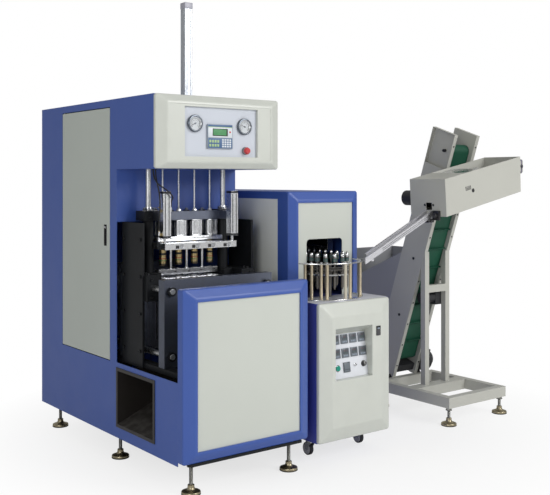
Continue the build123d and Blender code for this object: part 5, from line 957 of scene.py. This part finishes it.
meter_rows = (0.140, 0.218)
for row, row_y in enumerate(meter_rows):
    for column_x in columns:
        slab(bodies, (column_x - meter_half, row_y - meter_half, 0.0002),
             (column_x + meter_half, row_y + meter_half, 0.0068), 0.0010, panel)
        slab(windows, (column_x - 0.0215, row_y - 0.0060, 0.0060),
             (column_x + 0.0215, row_y + 0.0215, 0.0073), 0.0005, panel)
        for place, value in enumerate((1, 0, 5) if row else (8, 2, 0)):
            figure(reds, value, column_x - 0.0115 + place * 0.0095, row_y + 0.0085, 0.0085)
            figure(greens, (2, 0, 0)[place], column_x - 0.0100 + place * 0.0090, row_y - 0.0025, 0.0065)
        for key_x in (column_x - 0.0165, column_x - 0.0045, column_x + 0.0075):
            low, high = (key_x, row_y - 0.0190, 0.0060), (key_x + 0.0080, row_y - 0.0115, 0.0078)
            slab(keys, low, high, 0.0006, panel)
piece("meter_bodies", bodies, meter_grey)
piece("meter_windows", windows, meter_window)
piece("meter_red_figures", reds, digit_red)
piece("meter_green_figures", greens, digit_green)
piece("meter_keys", keys, case_grey)
volt = bmesh.new()
slab(volt, (columns[1] - 0.0242, 0.0315, 0.0002), (columns[1] + 0.0242, 0.0885, 0.0070), 0.0014, panel)
piece("volt_case", volt, meter_window)
volt_face = bmesh.new()
for low, high in ((0.0500, 0.0840), (0.0365, 0.0440)):
    slab(volt_face, (columns[1] - 0.0195, low, 0.0066), (columns[1] + 0.0195, high, 0.0074), 0.0004, panel)
piece("volt_face", volt_face, meter_grey)
toggle = bmesh.new()
rise = panel.to_3x3() @ Vector(up)
toggle_foot = panel @ Vector((columns[2], 0.066, 0.0))
hexagon_nut(toggle, toggle_foot, rise, 0.0095, 0.0035, 0.0045)
turned(toggle, mm((5.2, 3), (5.6, 12), (4.8, 12.8), (0, 13)), toggle_foot, rise, 24)
piece("toggle_nut", toggle, chrome)
rotary = bmesh.new()
rotary_foot = panel @ Vector((columns[3], 0.066, 0.0))
turned(rotary, mm((0, 0), (17.5, 0), (17.5, 3), (14, 4.5), (13.6, 12.5), (12.2, 13.4), (0, 13.4)),
       rotary_foot, rise, 40)
piece("rotary_knob", rotary, black_plastic_and_hole_shade)
bar = bmesh.new()
slab(bar, (columns[3] - 0.0016, 0.0575, 0.0130), (columns[3] + 0.0016, 0.0785, 0.0142), 0.0004, panel)
piece("rotary_bar", bar, white_plastic)
wear(plastic("green_cap", (0.01, 0.29, 0.21), gloss=0.2, texture=0.0, shine=0.6), "start_button")
start_ring = bmesh.new()
turned(start_ring, mm((15.6, 0), (19, 0), (19, 2.2), (17.6, 3.2), (15.6, 3.2)),
       panel @ Vector((columns[0], 0.060, 0.0)), rise, 40)
piece("start_ring", start_ring, chrome)

# The casters: pressed zinc forks under a swivel head, and black rubber tyres on grey plastic wheel
# centres with a bore for the axle.
wear(zinc, "left_caster_fork", "right_caster_fork", "rear_caster_forks")
wheel_grey = plastic("wheel_grey", (0.46, 0.46, 0.47), gloss=0.45)
wear(black_rubber, "left_front_wheel", "right_front_wheel", "left_rear_wheel", "right_rear_wheel")
for end, wheel_y in (("front", 0.189), ("rear", 1.524)):
    for side, wheel_x in (("left", 0.095), ("right", 0.486)):
        name = f"{side}_{end}_wheel"
        centres = bmesh.new()
        for way in (-1, 1):
            turned(centres, mm((5.5, 11.8), (11, 13), (13, 12.6), (27, 12.6), (31, 12.1)),
                   at(oven + wheel_x, wheel_y, 0.0375), (way, 0, 0), 36)
        piece(name + "_centre", centres, wheel_grey, name)

# The feeder's base and elevator: pale powder-coated sheet, channel webs with small black screws
# down the flanges, black toe plates on the rear rail.
feeder_coat = painted_steel("feeder_coat", (0.50, 0.50, 0.455), gloss=0.40, dust=0.1)
wear(feeder_coat, "feeder_frame", "elevator_sides", "sorter_box")
feeder = 2.055
belt_middle = feeder + 0.2765
lean = math.radians(18.9)
elevator_foot = Matrix.Translation(at(belt_middle, 0.754, 0.174))
elevator = elevator_foot @ Matrix(((1, 0, 0, 0), (0, -math.sin(lean), math.cos(lean), 0),
                                   (0, math.cos(lean), math.sin(lean), 0), (0, 0, 0, 1)))
forward = (elevator.to_3x3() @ Vector((0, 0, -1))).normalized()
first_bolt, bolt_pitch = 0.10, 0.162
flange_bolts = bmesh.new()
for way in (-1, 1):
    for number in range(11):
        turned(flange_bolts, mm((0, -0.2), (5.5, 0), (5.5, 2.2), (4, 3.4), (0, 3.6)),
               elevator @ Vector((way * 0.109, first_bolt + number * bolt_pitch, 0.0)), forward, 16)
    for climb in (0.459, 0.886):
        turned(flange_bolts, mm((0, -0.2), (9.5, 0), (9.5, 3), (7, 5), (0, 5.2)),
               elevator @ Vector((way * 0.124, climb, 0.084)), (way, 0, 0), 20)
piece("elevator_bolts", flange_bolts, black_oxide_and_groove_shade)
toes = bmesh.new()
for toe_x in (belt_middle - 0.146, belt_middle + 0.146):
    corners = [toes.verts.new(at(toe_x + across, toe_y, toe_z)) for toe_y in (0.752, 0.757)
               for across, toe_z in ((-0.017, 0.183), (0.017, 0.183), (0.004, 0.209), (-0.004, 0.209))]
    for face in ((0, 1, 2, 3), (7, 6, 5, 4), (0, 4, 5, 1), (1, 5, 6, 2), (2, 6, 7, 3), (3, 7, 4, 0)):
        toes.faces.new([corners[number] for number in face])
    socket_screw(toes, at(toe_x, 0.752, 0.193), to_front, 0.0035, 0.003)
piece("elevator_toes", toes, black_coat)

# The belt: green rubber on a woven core, with a lighter green strip along each cleat's tip, round two
# blackened rollers.
green_rubber = plastic("green_rubber", (0.001, 0.070, 0.036), gloss=0.62, texture=0.5, fine=260.0)
wear(green_rubber, "elevator_belt")
wear(black_oxide_and_groove_shade, "head_roller", "tail_roller", "front_sorting_roller", "rear_sorting_roller")
# A lighter green strip is laid along each cleat's tip.
light_green = plastic("tip_green", (0.045, 0.20, 0.13), gloss=0.5)
tips = bmesh.new()
belt_low, belt_high = 0.150, 1.672
half_way = (belt_low + belt_high) / 2
cleat_pitch, belt_depth = 0.140, 0.071
count = int((belt_high - belt_low) // cleat_pitch)
for number in range(count):
    climb = half_way + (number - (count - 1) / 2) * cleat_pitch
    for depth in (belt_depth - 0.0613, belt_depth + 0.0607):
        slab(tips, (-0.0895, climb - 0.0031, depth), (0.0895, climb + 0.0031, depth + 0.0006), 0, elevator)
piece("cleat_tips", tips, light_green)

# The sorter: a folded box with bright slanted guide sheets inside, vent slots and a round plug low
# in its front, and a grey gear cover with its rings at the high end.
gear_grey = painted_steel("gear_grey", (0.17, 0.16, 0.21), gloss=0.36, dust=0.1)
bright_guide = bmesh.new()
sorter_left, sorter_low = feeder - 0.228, 1.357
tilt = Matrix.Translation(at(sorter_left, 0, sorter_low)) @ Matrix.Rotation(-math.radians(11.7), 4, "Y")
for low_y, high_y, spread in ((0.100, 0.196, 38), (-0.010, -0.092, -38)):
    middle = Matrix.Translation((0, (low_y + high_y) / 2, 0.150))
    leaf = tilt @ middle @ Matrix.Rotation(math.radians(spread), 4, "X")
    slab(bright_guide, (0.185, -0.050, -0.0008), (0.665, 0.050, 0.0008), 0.0004, leaf)
slab(bright_guide, (0.236, -0.0905, 0.2120), (0.440, 0.1900, 0.2135), 0.0004, tilt)
piece("sorter_guides", bright_guide, bright)
gear_cover = bmesh.new()
slab(gear_cover, at(2.5465, -0.0908, 1.6275), at(2.5765, -0.0085, 1.7175), 0.010)
piece("gear_cover", gear_cover, gear_grey)
gear_rings = bmesh.new()
gear_shaft = at(2.5615, -0.0908, 1.672)
turned(gear_rings, mm((8.5, 0), (12.5, 0), (12.5, 1.6), (11, 2.4), (8.5, 1)), gear_shaft, to_front, 36)
turned(gear_rings, mm((0, 0), (4.5, 0), (4.5, 3), (3, 3.6), (0, 3)), gear_shaft, to_front, 28)
piece("gear_rings", gear_rings, black_oxide_and_groove_shade)
# Painted shade: the vent slots are thin black strips on the box's front, standing for the shade inside the
# slots; the round plug is black plastic.
vents = bmesh.new()
for number in range(5):
    vent_x = 0.205 + number * 0.011
    slab(vents, (vent_x, -0.0962, 0.117), (vent_x + 0.006, -0.0950, 0.144), 0.0001, tilt)
plug = tilt @ Vector((0.272, -0.0954, 0.107))
turned(vents, mm((0, 0), (13, 0), (13, 0.6), (0, 0.8)), plug, to_front, 32)
piece("sorter_vents", vents, black_plastic_and_hole_shade)

# The chute: two drawn aluminium rails with dark grooves and ribs, held at the sorter by a black clamp
# with two knobs and three screws.
rail_metal = bare_metal("rail_aluminium", (0.66, 0.66, 0.69), polish=0.48, depth=0.05, along=(0.25, 6, 6),
                        grime=0.02)
wear(rail_metal, "chute_rails")
chute_angle = math.radians(25)
chute = Matrix.Translation(at(sorter_left, 0.045, sorter_low)) @ Matrix.Rotation(-chute_angle, 4, "Y")
# Painted shade: the rails' grooves are thin black strips along their sides, standing for the shade in the
# grooves.
grooves = bmesh.new()
for rail_y in (-0.0303, 0.0299):
    for low in (0.009, 0.019):
        slab(grooves, (-0.47, rail_y, low), (-0.02, rail_y + 0.0004, low + 0.0022), 0, chute)
piece("chute_grooves", grooves, black_oxide_and_groove_shade)
ribs = bmesh.new()
for number in range(22):
    rib_x = -0.465 + number * 0.021
    slab(ribs, (rib_x, 0.0165, 0.0290), (rib_x + 0.009, 0.0295, 0.0325), 0.0006, chute)
piece("chute_ribs", ribs, black_oxide_and_groove_shade)
clamp = bmesh.new()
slab(clamp, at(feeder - 0.2745, 0.0065, 1.3180), at(feeder - 0.2375, 0.0835, 1.3420), 0.002)
turned(clamp, mm((4, 0), (11.5, 2), (12, 6), (12, 14), (10.5, 16.5), (0, 17)),
       at(feeder - 0.256, 0.007, 1.331), to_front, 32)
hub_left = feeder - 0.2430
slab(clamp, at(hub_left, -0.0480, 1.3340), at(feeder - 0.2270, 0.0080, 1.3930), 0.003)
turned(clamp, mm((0, 0), (15, 0), (15.5, 3), (15.5, 14), (13.5, 17), (0, 17.5)),
       at(hub_left, -0.0200, 1.3630), to_left, 32)
for screw_y, screw_z in ((-0.0400, 1.3420), (-0.0400, 1.3850), (0.0000, 1.3850)):
    socket_screw(clamp, at(hub_left, screw_y, screw_z), to_left, 0.0045, 0.0040)
piece("chute_clamp", clamp, black_plastic_and_hole_shade)

# The storage bin: folded sheet steel in a grey powder coat, rubbed at the edges and with dust on what
# faces up.
bin_coat = painted_steel("bin_coat", (0.34, 0.345, 0.36), gloss=0.42, dust=0.1)
wear(bin_coat, "storage_bin")

# The motors of the belt and the sorting rollers: black cast housings with the coarse skin that a
# sand mould leaves.
black_cast = plastic("black_cast", (0.02, 0.021, 0.024), gloss=0.5, texture=0.6, fine=320.0)
wear(black_cast, "drive_motors")
